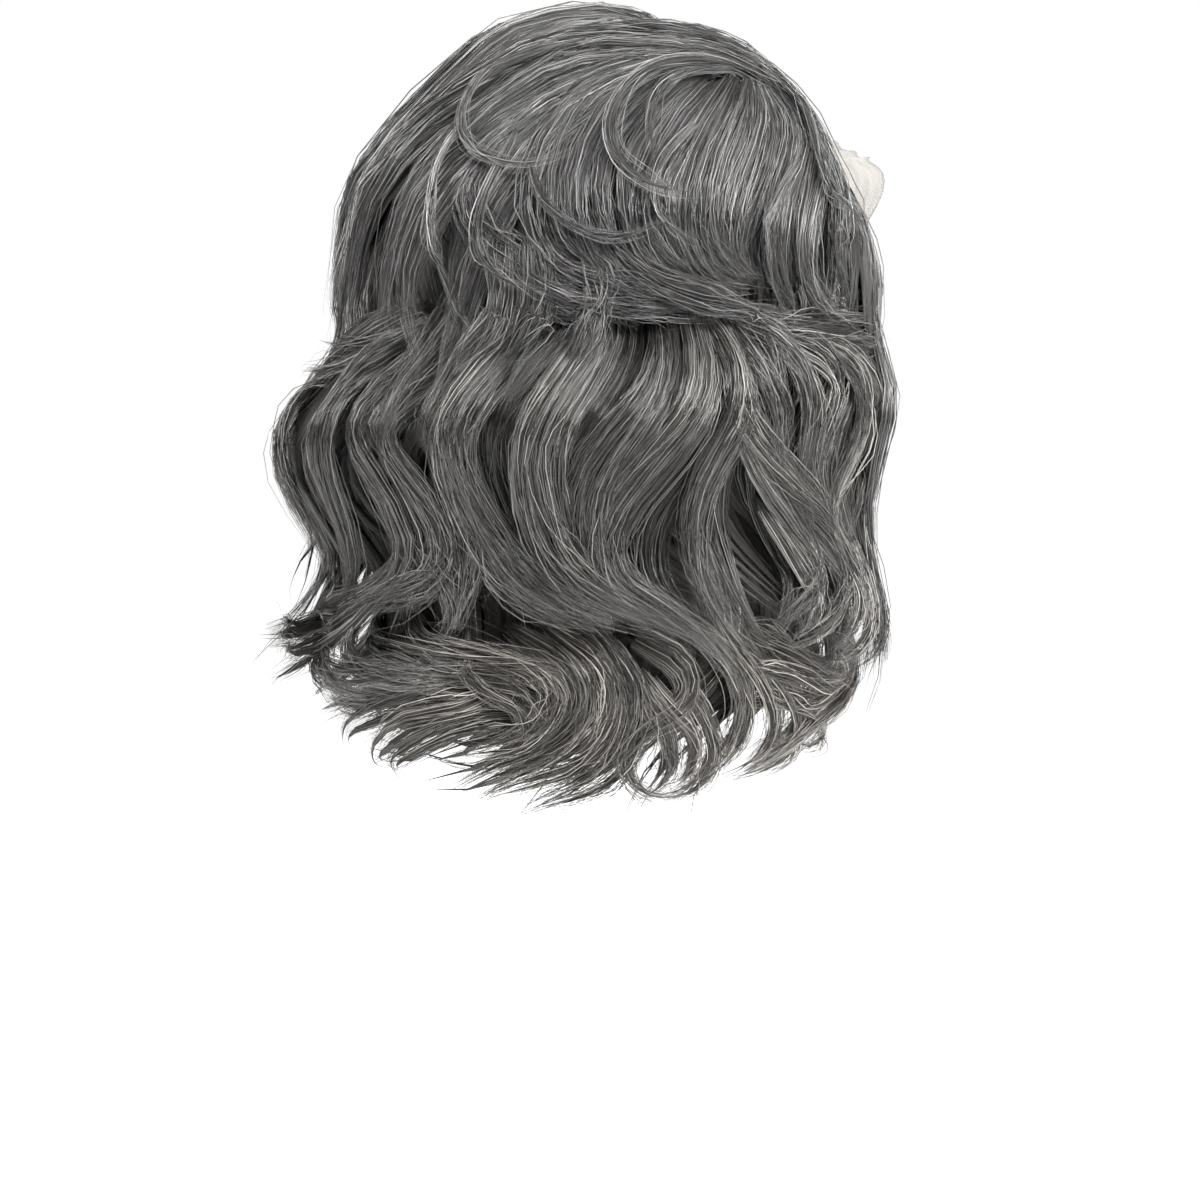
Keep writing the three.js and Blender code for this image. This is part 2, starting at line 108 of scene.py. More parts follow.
class Wire:
    """A socket of a node tree that can be added, multiplied and so on, in shaders and in geometry."""

    def __init__(self, tree, socket):
        self.tree = tree
        self.socket = socket

    def node(self, kind, settings, sockets, output=None):
        made = self.tree.nodes.new(kind)
        for name, value in settings.items():
            setattr(made, name, value)
        usable = [socket for socket in made.inputs if socket.enabled]
        for name, value in sockets.items():
            socket = usable[name] if isinstance(name, int) else next(s for s in usable if s.name == name)
            if isinstance(value, Wire):
                self.tree.links.new(value.socket, socket)
            else:
                socket.default_value = value
        outputs = [socket for socket in made.outputs if socket.enabled]
        found = outputs[0] if output is None else next(s for s in outputs if s.name == output)
        return Wire(self.tree, found)

    def is_vector(self):
        return self.socket.type == "VECTOR"

    def maths(self, operation, *values):
        if not any(isinstance(value, Wire) and value.is_vector() for value in values):
            return self.node("ShaderNodeMath", {"operation": operation}, dict(enumerate(values)))
        if operation == "MULTIPLY" and not (isinstance(values[1], Wire) and values[1].is_vector()):
            return self.node("ShaderNodeVectorMath", {"operation": "SCALE"}, {0: values[0], 1: values[1]})
        return self.node("ShaderNodeVectorMath", {"operation": operation}, dict(enumerate(values)))

    def __add__(self, other):
        return self.maths("ADD", self, other)

    def __sub__(self, other):
        return self.maths("SUBTRACT", self, other)

    def __rsub__(self, other):
        return self.maths("SUBTRACT", other, self)

    def __mul__(self, other):
        return self.maths("MULTIPLY", self, other)

    def part(self, axis):
        return self.node("ShaderNodeSeparateXYZ", {}, {0: self}, axis)

    def sine(self):
        return self.maths("SINE", self)

    def cosine(self):
        return self.maths("COSINE", self)

    def between(self, low, high, from_value=0.0, to_value=1.0):
        return self.node("ShaderNodeMapRange", {"interpolation_type": "SMOOTHSTEP"}, {
            "Value": self, "From Min": low, "From Max": high, "To Min": from_value, "To Max": to_value,
        })


def new_material(name):
    material = bpy.data.materials.new(name)
    material.use_nodes = True
    tree = material.node_tree
    shader = tree.nodes["Principled BSDF"]
    return material, tree, shader


def colour_ramp(value, stops):
    ramp = value.tree.nodes.new("ShaderNodeValToRGB")
    while len(ramp.color_ramp.elements) < len(stops):
        ramp.color_ramp.elements.new(0.5)
    for element, (place, colour) in zip(ramp.color_ramp.elements, stops):
        element.position = place
        element.color = (*colour, 1.0)
    value.tree.links.new(value.socket, ramp.inputs["Fac"])
    return Wire(value.tree, ramp.outputs["Color"])


def bump(height, shader, strength, distance):
    normal = height.node("ShaderNodeBump", {}, {"Strength": strength, "Distance": distance, "Height": height})
    height.tree.links.new(normal.socket, shader.inputs["Normal"])


def add_object(name, mesh, materials):
    made = bpy.data.objects.new(name, mesh)
    bpy.context.scene.collection.objects.link(made)
    for material in materials:
        made.data.materials.append(material)
    return made


def wall_mesh(name, columns, rows, point_at, round_the_head):
    """A thin closed wall from an outer and an inner grid of points, with a UV map across and down it."""
    wide = columns if round_the_head else columns + 1
    corner = {}
    points = []
    for side in (0, 1):
        for j in range(rows + 1):
            for i in range(wide):
                pole = round_the_head and j == 0
                key = (side, j, 0 if pole else i)
                if key not in corner:
                    corner[key] = len(points)
                    points.append(point_at(i / columns, j / rows, side))
    faces = []
    maps = []

    def add(*places):
        ids = []
        uvs = []
        for i, j, side in places:
            column = i % columns if round_the_head else i
            found = corner[(side, j, 0 if round_the_head and j == 0 else column)]
            if found not in ids:
                ids.append(found)
                uvs.append((i / columns, j / rows))
        if len(ids) > 2:
            faces.append(ids)
            maps.extend(uvs)

    for i in range(columns):
        for j in range(rows):
            add((i, j, 1), (i, j + 1, 1), (i + 1, j + 1, 1), (i + 1, j, 1))
            add((i, j, 0), (i + 1, j, 0), (i + 1, j + 1, 0), (i, j + 1, 0))
        add((i, rows, 1), (i, rows, 0), (i + 1, rows, 0), (i + 1, rows, 1))
        if not round_the_head:
            add((i, 0, 1), (i + 1, 0, 1), (i + 1, 0, 0), (i, 0, 0))
    if not round_the_head:
        for j in range(rows):
            add((0, j, 1), (0, j, 0), (0, j + 1, 0), (0, j + 1, 1))
            add((columns, j, 1), (columns, j + 1, 1), (columns, j + 1, 0), (columns, j, 0))
    mesh = bpy.data.meshes.new(name)
    mesh.from_pydata([tuple(point) for point in points], [], faces)
    layer = mesh.uv_layers.new(name="cloth")
    layer.uv.foreach_set("vector", np.array(maps, dtype=np.float32).ravel())
    mesh.polygons.foreach_set("use_smooth", np.ones(len(faces), dtype=bool))
    mesh.update()
    return mesh


def cap_point(across, down, side):
    bearing = 360.0 * across
    top = -HEAD_ARC * math.pi / 2.0
    drop = top + (rim_drop(bearing) - top) * down
    return head_point(bearing, drop, CAP_WALL * side)


def cloth_map(tree):
    """Wires from a cloth's own map: the map, the share across and the share down."""
    cloth = Wire(tree, None).node("ShaderNodeUVMap", {"uv_map": "cloth"}, {})
    return cloth, cloth.part("X"), cloth.part("Y")


def slanted_threads(across, down):
    return (across + down).sine() * (across - down).sine()


cap_net, tree, shader = new_material("cap_net")
cloth, across, down = cloth_map(tree)
threads = slanted_threads(across * CAP_THREADS[0], down * CAP_THREADS[1])
weft_rows = (down * CAP_WEFTS).sine().between(0.72, 0.98)
worn = cloth.node("ShaderNodeTexNoise", {}, {"Vector": cloth, "Scale": 14.0, "Detail": 4.0}, "Fac")
shade = threads * 0.14 + worn * 0.3 + weft_rows * 0.38
tone = colour_ramp(shade, [
    (0.0, (0.006, 0.006, 0.006)), (0.35, (0.022, 0.022, 0.022)), (0.8, (0.085, 0.083, 0.08)),
])
tree.links.new(tone.socket, shader.inputs["Base Color"])
shader.inputs["Roughness"].default_value = 0.85
bump(threads * 0.5 + weft_rows, shader, 0.6, 0.0006)
cap = add_object("cap_net", wall_mesh("cap_net", CAP_COLUMNS, CAP_ROWS, cap_point, True), [cap_net])
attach(cap, "root")
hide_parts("cap")


# Lace front
# A pale sheer lace strip sewn along the front edge of the cap. Beside the wearer's right temple its free edge
# stands away from the head.
LACE_END = 130.0
LACE_THICK = 0.001
LACE_SPAN = 0.17
LACE_WIDTH = 0.018
LACE_LOOSE_FROM = (126.0, 133.0)
LACE_LOOSE_TO = (156.0, 168.0)
LACE_COLUMNS = 84
LACE_ROWS = 10
LACE_THREADS = (7800.0, 4500.0)


def lace_point(across, down, side):
    bearing = LACE_END + (360.0 - 2.0 * LACE_END) * across
    from_right = 360.0 - bearing
    loose = smooth(from_right, *LACE_LOOSE_FROM) * (1.0 - smooth(from_right, *LACE_LOOSE_TO))
    drop = rim_drop(bearing) + SEAM_GAP + (LACE_WIDTH - 0.009 * loose) * down
    ripple = 0.0012 * loose * down * math.sin(bearing * 0.9)
    lift = 0.00025 + (0.006 + 0.031 * loose) * down ** 1.3 + ripple
    return head_point(bearing, drop, lift + LACE_THICK * side)


lace_net, tree, shader = new_material("lace_net")
cloth, across, down = cloth_map(tree)
net = slanted_threads(across * LACE_SPAN * LACE_THREADS[0], down * LACE_WIDTH * LACE_THREADS[1])
thread = net.maths("ABSOLUTE", net).between(0.62, 0.2)
worn = cloth.node("ShaderNodeTexNoise", {}, {"Vector": cloth, "Scale": 20.0, "Detail": 3.0}, "Fac")
tone = colour_ramp(worn, [(0.3, (0.25, 0.235, 0.215)), (0.7, (0.37, 0.355, 0.33))])
tree.links.new(tone.socket, shader.inputs["Base Color"])
clear = thread * 0.42 + 0.4
tree.links.new(clear.socket, shader.inputs["Alpha"])
shader.inputs["Roughness"].default_value = 0.8
lace = add_object("lace_net", wall_mesh("lace_net", LACE_COLUMNS, LACE_ROWS, lace_point, False), [lace_net])
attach(lace, "root")
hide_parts("lace_front")


# Nape hair
# The lowest layer: fine grey fibre sewn in a row round the back of the neck, set in waves and curled under at
# the tips. It is cut longest, and only its ends show below the layers above.
LAYER_THICK = {"nape": 0.013, "mid": 0.016, "crown": 0.010}
LAYER_GAP = 0.001
NAPE_ROOT = 0.016
NAPE_ROOT_OVER_RIM = 0.014
# All the layers thin out at these bearings towards the face, flare under the widest level, taper lower down
# and share one set of waves.
THINS_FROM_TO = (92.0, 126.0)
THINNED_BY = 0.5
LAYERS_END = (126.0, 150.0)
FLARE = 0.05
TAPER = 0.16
WAVE_PITCH = 0.112
WAVE_DEPTH = 0.009
WAVE_DEPTH_LEFT = 0.004
WAVE_START = 0.01
WAVE_SLANT = 0.019
NAPE_LOCKS = """
    hang   reach   wave_at  curl  lift   width
    -108   0.204   -0.018    30   0.004  0.038
     -85   0.216   -0.010    30   0.002  0.044
     -62   0.222   -0.006    55   0.000  0.044
     -39   0.231   -0.003    95   0.000  0.044
     -16   0.229    0.000    85   0.000  0.044
       7   0.216    0.000    75   0.002  0.044
      30   0.200    0.003    65   0.006  0.044
      53   0.188    0.006    60   0.017  0.044
      76   0.188    0.002    45   0.016  0.044
      99   0.190   -0.008   -50   0.006  0.038
"""
NAPE_TRACED = """
    40  -4  4  0.0  560,630 595,655 612,690 606,725 580,755 535,775 495,790 468,806
    34  -4  3  0.0  530,640 562,662 578,692 570,722 540,748 500,764 462,785 445,795
    26  -4  2  0.3  500,655 535,668 553,690 550,715 525,738 485,750 440,760
    30  -4  3  0.0  600,640 630,680 632,720 615,760 580,788 540,806 516,819
    22  -3  2  0.8  372,600 366,630 384,650 440,660 510,658 565,664 605,664
    22  -3  2  0.3  420,585 412,625 430,650 480,662 540,668 585,680
    22  -3  2  0.0  395,655 440,672 490,676 520,690 530,715
    24  -9  4  0.5  440,676 395,686 355,700 322,712 305,708
    24  -9  4  0.5  440,690 400,705 362,718 345,735 356,756
    26  -9  4  0.2  475,700 430,714 395,735 378,756 395,770
    22  -9  4  0.4  460,690 415,695 375,700 335,694 308,682
    24  -9  3  0.3  500,720 455,728 415,745 392,762 405,778
    22  -9  3  0.0  470,640 470,665 490,685 520,700 535,725 525,748 495,765
    26  -3  3  0.2  640,640 672,656 688,680 682,702 655,718 628,740 622,768 640,793 668,799 692,788
    16  -3  3  0.0  688,690 705,720 712,752 700,780 675,796 650,797
    18  -3  2  0.0  650,700 665,730 668,760 655,785 635,800
    16  -3  2  0.2  660,690 690,725 694,755 682,778 660,788
    30  -3  3  0.2  700,632 730,665 742,700 736,735 718,765 690,790
    26  -3  3  0.0  735,640 760,675 772,710 768,742 745,768 715,782
    26  -3  3  0.3  765,650 788,685 795,720 785,748 755,770 722,780
    24  -2  3  0.8  835,640 858,660 850,682 820,705 795,738 760,765 735,778
    16  -2  3  0.5  850,650 846,680 815,712 785,742 750,770 722,782
    20  -3  2  0.3  770,640 800,655 830,668 852,664
    20  -3  2  0.2  765,670 800,676 835,680 850,672
    18  -3  2  0.0  775,690 800,700 822,696 838,685
    22  -7  0 -0.6  800,590 812,620 820,650 816,680 800,705
    10  -2  4  0.4  772,704 792,706 812,710 825,722 826,736 815,746 800,745 790,735 788,722
"""
NAPE_COMB = {"via": 60, "swing": 38, "pitch": 0.122, "curl_share": 0.34, "root_share": 0.4, "puff": 0.0}


def read_table(text):
    lines = [line.split() for line in text.strip().splitlines()]
    values = np.array(lines[1:], dtype=float)
    return {name: values[:, i] for i, name in enumerate(lines[0])}


def nape_root_drop(bearing):
    return np.minimum(NAPE_ROOT, rim_drop(bearing) - NAPE_ROOT_OVER_RIM)


def fullness(bearing):
    return 1.0 - THINNED_BY * smooth(away_from_back(bearing), *THINS_FROM_TO)


def hair_point(toward, drop, offset):
    girth = 1.0 + FLARE * smooth(drop, 0.0, 0.05) - TAPER * smooth(drop, 0.13, 0.21)
    turn = np.arctan2(toward[..., 0], toward[..., 1])
    depth = (WAVE_DEPTH + WAVE_DEPTH_LEFT * np.sin(turn)) * smooth(drop, -0.01, 0.04)
    phase = (drop - WAVE_START - WAVE_SLANT * np.sin(turn + 0.2)) / WAVE_PITCH
    wave = np.where(drop > 0.0, depth * np.sin(2.0 * np.pi * phase), 0.0)
    return point_off(toward, drop, girth, offset + wave)


def layer_base(layer, bearing, drop):
    """How far off the head the underside of a layer lies, over the layers below it."""
    below = 1.0 - smooth(away_from_back(bearing), *LAYERS_END)
    base = np.full(np.shape(drop), CAP_WALL + SEAM_GAP)
    full = fullness(bearing)
    if layer != "nape":
        root = nape_root_drop(bearing)
        base += below * smooth(drop, root - 0.03, root + 0.03) * (LAYER_THICK["nape"] * full + LAYER_GAP)
    if layer == "crown":
        base += below * smooth(drop, -0.085, -0.02) * (LAYER_THICK["mid"] * full + LAYER_GAP)
    return base


def divide(locks, comb, count, seed, deep):
    """Splits each lock into narrow ones side by side, each a little different from its neighbours."""
    rng = np.random.default_rng(seed)
    many = len(locks["hang"])
    total = many * count

    def vary(low, high):
        return rng.uniform(low, high, total)

    fine = {name: np.repeat(values, count) for name, values in locks.items()}
    for name, value in comb.items():
        fine.setdefault(name, np.full(total, float(value)))
    fine.setdefault("root", fine["hang"].copy())
    place = np.tile((np.arange(count) + 0.5) / count * 2.0 - 1.0, many)
    fine["side"] = place + vary(-0.5, 0.5) / count
    fine["covered"] = 1.0 - smooth(np.abs(fine["hang"] - VIEW_BEARING), 62.0, 84.0)
    fine["depth"] = (0.45 if deep else 0.86 - 0.42 * fine["side"] ** 2) + vary(-0.14, 0.14)
    fine["depth"] *= 1.0 - (0.2 if "root" in locks else 0.5) * fine["covered"]
    fine["reach"] += vary(-0.016, 0.008)
    fine["reach"] -= 0.006 * fine["side"] ** 2
    fine["swing"] *= vary(0.88, 1.14)
    fine["wave_at"] += np.repeat(rng.normal(0.0, 0.004, many), count)
    fine["wave_at"] += rng.normal(0.0, 0.0022, total)
    fine["curl"] += rng.normal(0.0, 13.0, total)
    fine["lift"] *= vary(0.55, 1.1)
    fine["puff"] *= vary(0.45, 0.7)
    fine["puff"] *= 0.2 if deep else 1.0
    fine["half_wide"] = fine["width"] / count * vary(0.75, 1.0)
    fine["half_thick"] = vary(0.0016, 0.0026) * (1.5 if deep else 1.0)
    fine["tone"] = rng.normal(0.0, 1.0, total)
    return fine


PATH_PARTS = ("point", "normal", "half_wide", "half_thick", "drop")
PATH_STEPS = 72
ARC_STEPS = 48


def lay(locks, layer):
    """Follows each lock from its root over the head and down, waving sideways and curling at its tip."""
    start = direction(polar_of(locks["root_drop"]), locks["root"])
    turn_at = np.maximum(locks["via"], (polar_of(locks["root_drop"]) + 90.0) / 2.0)
    middle = direction(turn_at, locks["hang"])
    end = direction(90.0, locks["hang"])
    t = np.linspace(0.0, 1.0, ARC_STEPS + 1)[None, :, None]
    arc = unit(start[:, None] * (1 - t) ** 2 + middle[:, None] * 2 * t * (1 - t) + end[:, None] * t ** 2)
    pieces = np.linalg.norm(np.diff(arc, axis=1), axis=-1) * HEAD_ARC
    along = np.concatenate([np.zeros((len(pieces), 1)), np.cumsum(pieces, axis=1)], axis=1)
    over_head = locks["root_drop"] < 0.0
    over = np.where(over_head, along[:, -1], -locks["root_drop"])
    length = over + locks["reach"]
    every = np.arange(len(length))

    def at(distance, sideways):
        drop = distance - over
        reached = np.maximum(distance, 0.0)
        i = np.clip((along <= reached[:, None]).sum(axis=1), 1, ARC_STEPS)
        share = (reached - along[every, i - 1]) / np.maximum(along[every, i] - along[every, i - 1], TINY)
        before, after = arc[every, i - 1], arc[every, i]
        toward = before + (after - before) * np.clip(share, 0.0, 1.0)[:, None]
        side = unit(np.cross(after - before, toward))
        toward = unit(toward + side * (sideways / HEAD_ARC)[:, None])
        hanging = (drop >= 0.0) | ~over_head
        below = direction(90.0, locks["hang"] + np.degrees(sideways / HEAD_ARC))
        return np.where(hanging[:, None], below, toward), drop

    step = length / PATH_STEPS
    distance = np.zeros(len(length))
    sideways = np.zeros(len(length))
    found = {name: [] for name in PATH_PARTS}
    for i in range(PATH_STEPS + 1):
        share = i / PATH_STEPS
        rooted = locks["root_share"] + (1.0 - locks["root_share"]) * smooth(i * step, 0.0, 0.05)
        tip = 1.0 - 0.72 * smooth(share, 0.55, 1.0)
        half = locks["width"] / 2.0 * np.sqrt(rooted) * tip
        curl = np.radians(locks["curl"]) * smooth(share, 1.0 - locks["curl_share"], 1.0)
        shift = locks["side"] * half
        toward, drop = at(distance - shift * np.sin(curl), sideways + shift * np.cos(curl))
        bearing = np.degrees(np.arctan2(toward[:, 0], toward[:, 1]))
        full = LAYER_THICK[layer] * fullness(bearing)
        puff = locks["puff"] * smooth(share, 0.0, 0.35) * (1.0 - smooth(share, 0.5, 1.0))
        raised = locks["lift"] * smooth(share, 0.7, 1.0) + puff
        if layer == "crown":
            raised = raised - 0.007 * fullness(bearing) * smooth(drop, -0.045, 0.01)
            raised = raised - 0.0045 * locks["depth"] * smooth(-drop, 0.095, 0.13)
        offset = layer_base(layer, bearing, drop) + full * rooted * locks["depth"] + raised
        slim = 1.0 - 0.93 * smooth(share, 0.6, 1.0)
        found["point"].append(hair_point(toward, drop, offset))
        found["normal"].append(outward(toward, drop))
        found["half_wide"].append(locks["half_wide"] * np.sqrt(rooted) * slim)
        found["half_thick"].append(locks["half_thick"] * rooted * slim)
        found["drop"].append(drop)
        wave = np.sin(2.0 * np.pi * (distance - over - locks["wave_at"]) / locks["pitch"])
        heading = np.radians(locks["swing"]) * smooth(i * step, 0.0, 0.045) * wave + curl
        distance = distance + np.cos(heading) * step
        sideways = sideways + np.sin(heading) * step
    return {name: np.stack(values, axis=1) for name, values in found.items()}


FROM_ROOT = -1.0
LENGTH_WEIGHT = 9.0


def resample(paths, count, from_drop, seed):
    """Picks points along each path, closer together where it bends, from where it comes out of cover."""
    rng = np.random.default_rng(seed)
    points = paths["point"]
    ways = np.diff(points, axis=1)
    lengths = np.linalg.norm(ways, axis=-1)
    units = unit(ways)
    bends = np.arccos(np.clip((units[:, 1:] * units[:, :-1]).sum(-1), -1.0, 1.0))
    bends = np.concatenate([bends[:, :1], bends], axis=1)
    weight = np.cumsum(lengths * LENGTH_WEIGHT + bends, axis=1)
    weight = np.concatenate([np.zeros((len(points), 1)), weight], axis=1)
    picked = {name: [] for name in paths}
    for g in range(len(points)):
        first = weight[g][np.argmax(paths["drop"][g] >= from_drop)]
        places = np.linspace(first, weight[g, -1], count)
        places[1:-1] += rng.uniform(-0.45, 0.45) * (places[1] - places[0])
        for name, values in paths.items():
            flat = values[g].reshape(len(values[g]), -1)
            rows = np.stack([np.interp(places, weight[g], column) for column in flat.T], axis=-1)
            picked[name].append(rows.reshape(count, *values.shape[2:]))
    made = {name: np.array(values) for name, values in picked.items()}
    tangent = unit(np.gradient(made["point"], axis=1))
    made["across"] = unit(np.cross(tangent, made["normal"]))
    made["up"] = np.cross(made["across"], tangent)
    return made


PICTURE_SIZE = 1200
PICTURE_SCALE = 0.0004
PICTURE_MIDDLE = (600.0, 600.0)
VIEW_BEARING = -32.0
VIEW_TURN = math.radians(-VIEW_BEARING)
VIEW_RISE = math.radians(2.5)
VIEW_DISTANCE = 2.2
VIEW_RIGHT = np.array([-math.cos(VIEW_TURN), -math.sin(VIEW_TURN), 0.0])
VIEW_BACK = np.array([
    -math.sin(VIEW_TURN) * math.cos(VIEW_RISE),
    math.cos(VIEW_TURN) * math.cos(VIEW_RISE),
    math.sin(VIEW_RISE),
])
VIEW_UP = np.cross(VIEW_BACK, VIEW_RIGHT)
VIEW_TARGET = VIEW_RIGHT * -0.002 + np.array([0.0, 0.0, -0.2266])


def picture_place(points):
    """Where points show in the picture, in its pixels."""
    seen = points - VIEW_TARGET
    nearer = VIEW_DISTANCE / (VIEW_DISTANCE - seen @ VIEW_BACK) / PICTURE_SCALE
    across = PICTURE_MIDDLE[0] + seen @ VIEW_RIGHT * nearer
    down = PICTURE_MIDDLE[1] - seen @ VIEW_UP * nearer
    return np.stack([across, down], -1)


GUESS_RADIUS = 0.115
SEARCH_ROUNDS = 40
SEARCH_TURN = 0.3
SEARCH_DROP = 0.0005
SEEN_BEARINGS = (-110.0, 46.0)
SEEN_DROPS = (-0.122, 0.25)


def on_layer(places, layer, raised):
    """The points outside a layer that show at these places of the picture, with their normals and drops."""
    across = (places[..., 0] - PICTURE_MIDDLE[0]) * PICTURE_SCALE
    level = VIEW_TARGET[2] + (PICTURE_MIDDLE[1] - places[..., 1]) * PICTURE_SCALE
    above = np.clip((level + HEAD[2]) / HEAD[2], 0.0, 0.97)
    drop = np.where(level < -HEAD[2], -HEAD[2] - level, -np.arcsin(above) * HEAD_ARC)
    round_here = GUESS_RADIUS * np.sqrt(1.0 - above ** 2)
    bearing = VIEW_BEARING - np.degrees(np.arcsin(np.clip(across / round_here, -0.96, 0.96)))

    def surface(drop, bearing):
        toward = direction(polar_of(drop), bearing)
        height = layer_base(layer, bearing, drop) + LAYER_THICK[layer] * fullness(bearing) * 0.92 + raised
        if layer == "crown":
            puff = 0.003 + 0.013 * smooth(-bearing, 25.0, 85.0)
            height = height + puff * smooth(drop, -0.13, -0.095) * (1.0 - smooth(drop, -0.06, -0.005))
        return hair_point(toward, drop, height), outward(toward, drop)

    def shown(drop, bearing, axis):
        return picture_place(surface(drop, bearing)[0])[..., axis]

    for _ in range(SEARCH_ROUNDS):
        here = shown(drop, bearing, 0)
        change = (shown(drop, bearing + SEARCH_TURN, 0) - here) / SEARCH_TURN
        bearing = bearing + np.clip(0.8 * (places[..., 0] - here) / np.minimum(change, -1.0), -5.0, 5.0)
        bearing = np.clip(bearing, *SEEN_BEARINGS)
        here = shown(drop, bearing, 1)
        change = (shown(drop + SEARCH_DROP, bearing, 1) - here) / SEARCH_DROP
        drop = drop + np.clip(0.8 * (places[..., 1] - here) / np.maximum(change, 600.0), -0.01, 0.01)
        drop = np.clip(drop, *SEEN_DROPS)
    edge = smooth(np.abs(bearing - VIEW_BEARING), 48.0, 72.0)
    for reach, share in ((5, 1.0), (14, edge)):
        window = np.hanning(2 * reach + 3)[1:-1]
        window /= window.sum()
        bearing, drop = (
            values + share * (np.convolve(np.pad(values, reach, mode="edge"), window, mode="valid") - values)
            for values in (bearing, drop)
        )
    point, normal = surface(drop, bearing)
    return point, normal, drop


NARROW_LOCK = 0.0042
CORNER_STEPS = 24
MILLIMETRE = 0.001


def trace(text, layer, seed, lead, over):
    """Locks that lie where the picture shows them, each split into narrow ones side by side.
    A row has the lock's width in pixels, how far its root is tucked under and its tip stands up, both in
    millimetres, its tone (on rows in recesses and under the crown's edge a dark tone is painted shade), and
    then its places in the picture from root to tip."""
    rng = np.random.default_rng(seed)
    tones = []
    paths = {name: [] for name in PATH_PARTS}
    share = np.linspace(0.0, 1.0, PATH_STEPS + 1)
    for line in text.strip().splitlines():
        words = line.split()
        width, tuck, lift, tone = (float(word) for word in words[:4])
        corners = np.array([word.split(",") for word in words[4:]], dtype=float)
        if lead:
            first = corners[0] - corners[1]
            corners = np.concatenate([corners[:1] + first / np.linalg.norm(first) * lead, corners])
        ends = np.concatenate([2 * corners[:1] - corners[1:2], corners, 2 * corners[-1:] - corners[-2:-1]])
        fine = []
        for a, b, c, d in zip(ends, ends[1:], ends[2:], ends[3:]):
            t = np.linspace(0.0, 1.0, CORNER_STEPS, endpoint=False)[:, None]
            bend = (2 * a - 5 * b + 4 * c - d) * t ** 2 + (3 * b - a - 3 * c + d) * t ** 3
            fine.append(b + ((c - a) * t + bend) / 2.0)
        fine = np.concatenate([*fine, corners[-1:]])
        far = np.concatenate([[0.0], np.cumsum(np.linalg.norm(np.diff(fine, axis=0), axis=1))])
        even = np.stack([np.interp(share * far[-1], far, column) for column in fine.T], axis=-1)
        risen = over + tuck * (1.0 - smooth(share, 0.0, 0.3)) + lift * smooth(share, 0.55, 1.0)
        point, normal, drop = on_layer(even, layer, MILLIMETRE * risen)
        along = unit(np.gradient(point, axis=0))
        side = unit(np.cross(along, normal))
        up = np.cross(side, along)
        wide = width * PICTURE_SCALE
        half = wide / 2.0 * (0.5 + 0.5 * smooth(share, 0.0, 0.2)) * (1.0 - 0.7 * smooth(share, 0.6, 1.0))
        slim = (0.45 + 0.55 * smooth(share, 0.0, 0.12)) * (1.0 - 0.9 * smooth(share, 0.62, 1.0))
        count = max(1, round(wide / NARROW_LOCK))
        for k in range(count):
            place = ((k + 0.5) / count * 2.0 - 1.0) * (0.85 if count > 1 else 0.0)
            place = place + rng.uniform(-0.3, 0.3) / count
            wander = np.sin(share * rng.uniform(3.0, 9.0) + rng.uniform(0.0, 6.3)) * rng.uniform(0.0, 0.0026)
            rise = 0.0025 * (1.0 - place * place) + rng.uniform(-0.0012, 0.0012) - 0.0012
            broad = min(wide, NARROW_LOCK) * rng.uniform(0.5, 0.68)
            paths["point"].append(point + side * (half * place + wander)[:, None] + up * rise)
            paths["normal"].append(normal)
            paths["half_wide"].append(broad * slim)
            paths["half_thick"].append(np.minimum(broad * 0.4, 0.0012) * slim)
            paths["drop"].append(drop)
            tones.append(tone + rng.normal(0.0, 0.5))
    return np.array(tones), {name: np.array(values) for name, values in paths.items()}


def put_values(mesh, label, values):
    """Stores a number or a vector at every point of a mesh."""
    is_vector = label in ("reach", "rise", "across", "up")
    made = mesh.attributes.new(label, "FLOAT_VECTOR" if is_vector else "FLOAT", "POINT")
    made.data.foreach_set("vector" if is_vector else "value", values.astype(np.float32).ravel())


BODY_RINGS = 15
BODY_SIDES = 6
STREAK_WIDTH = 0.0005


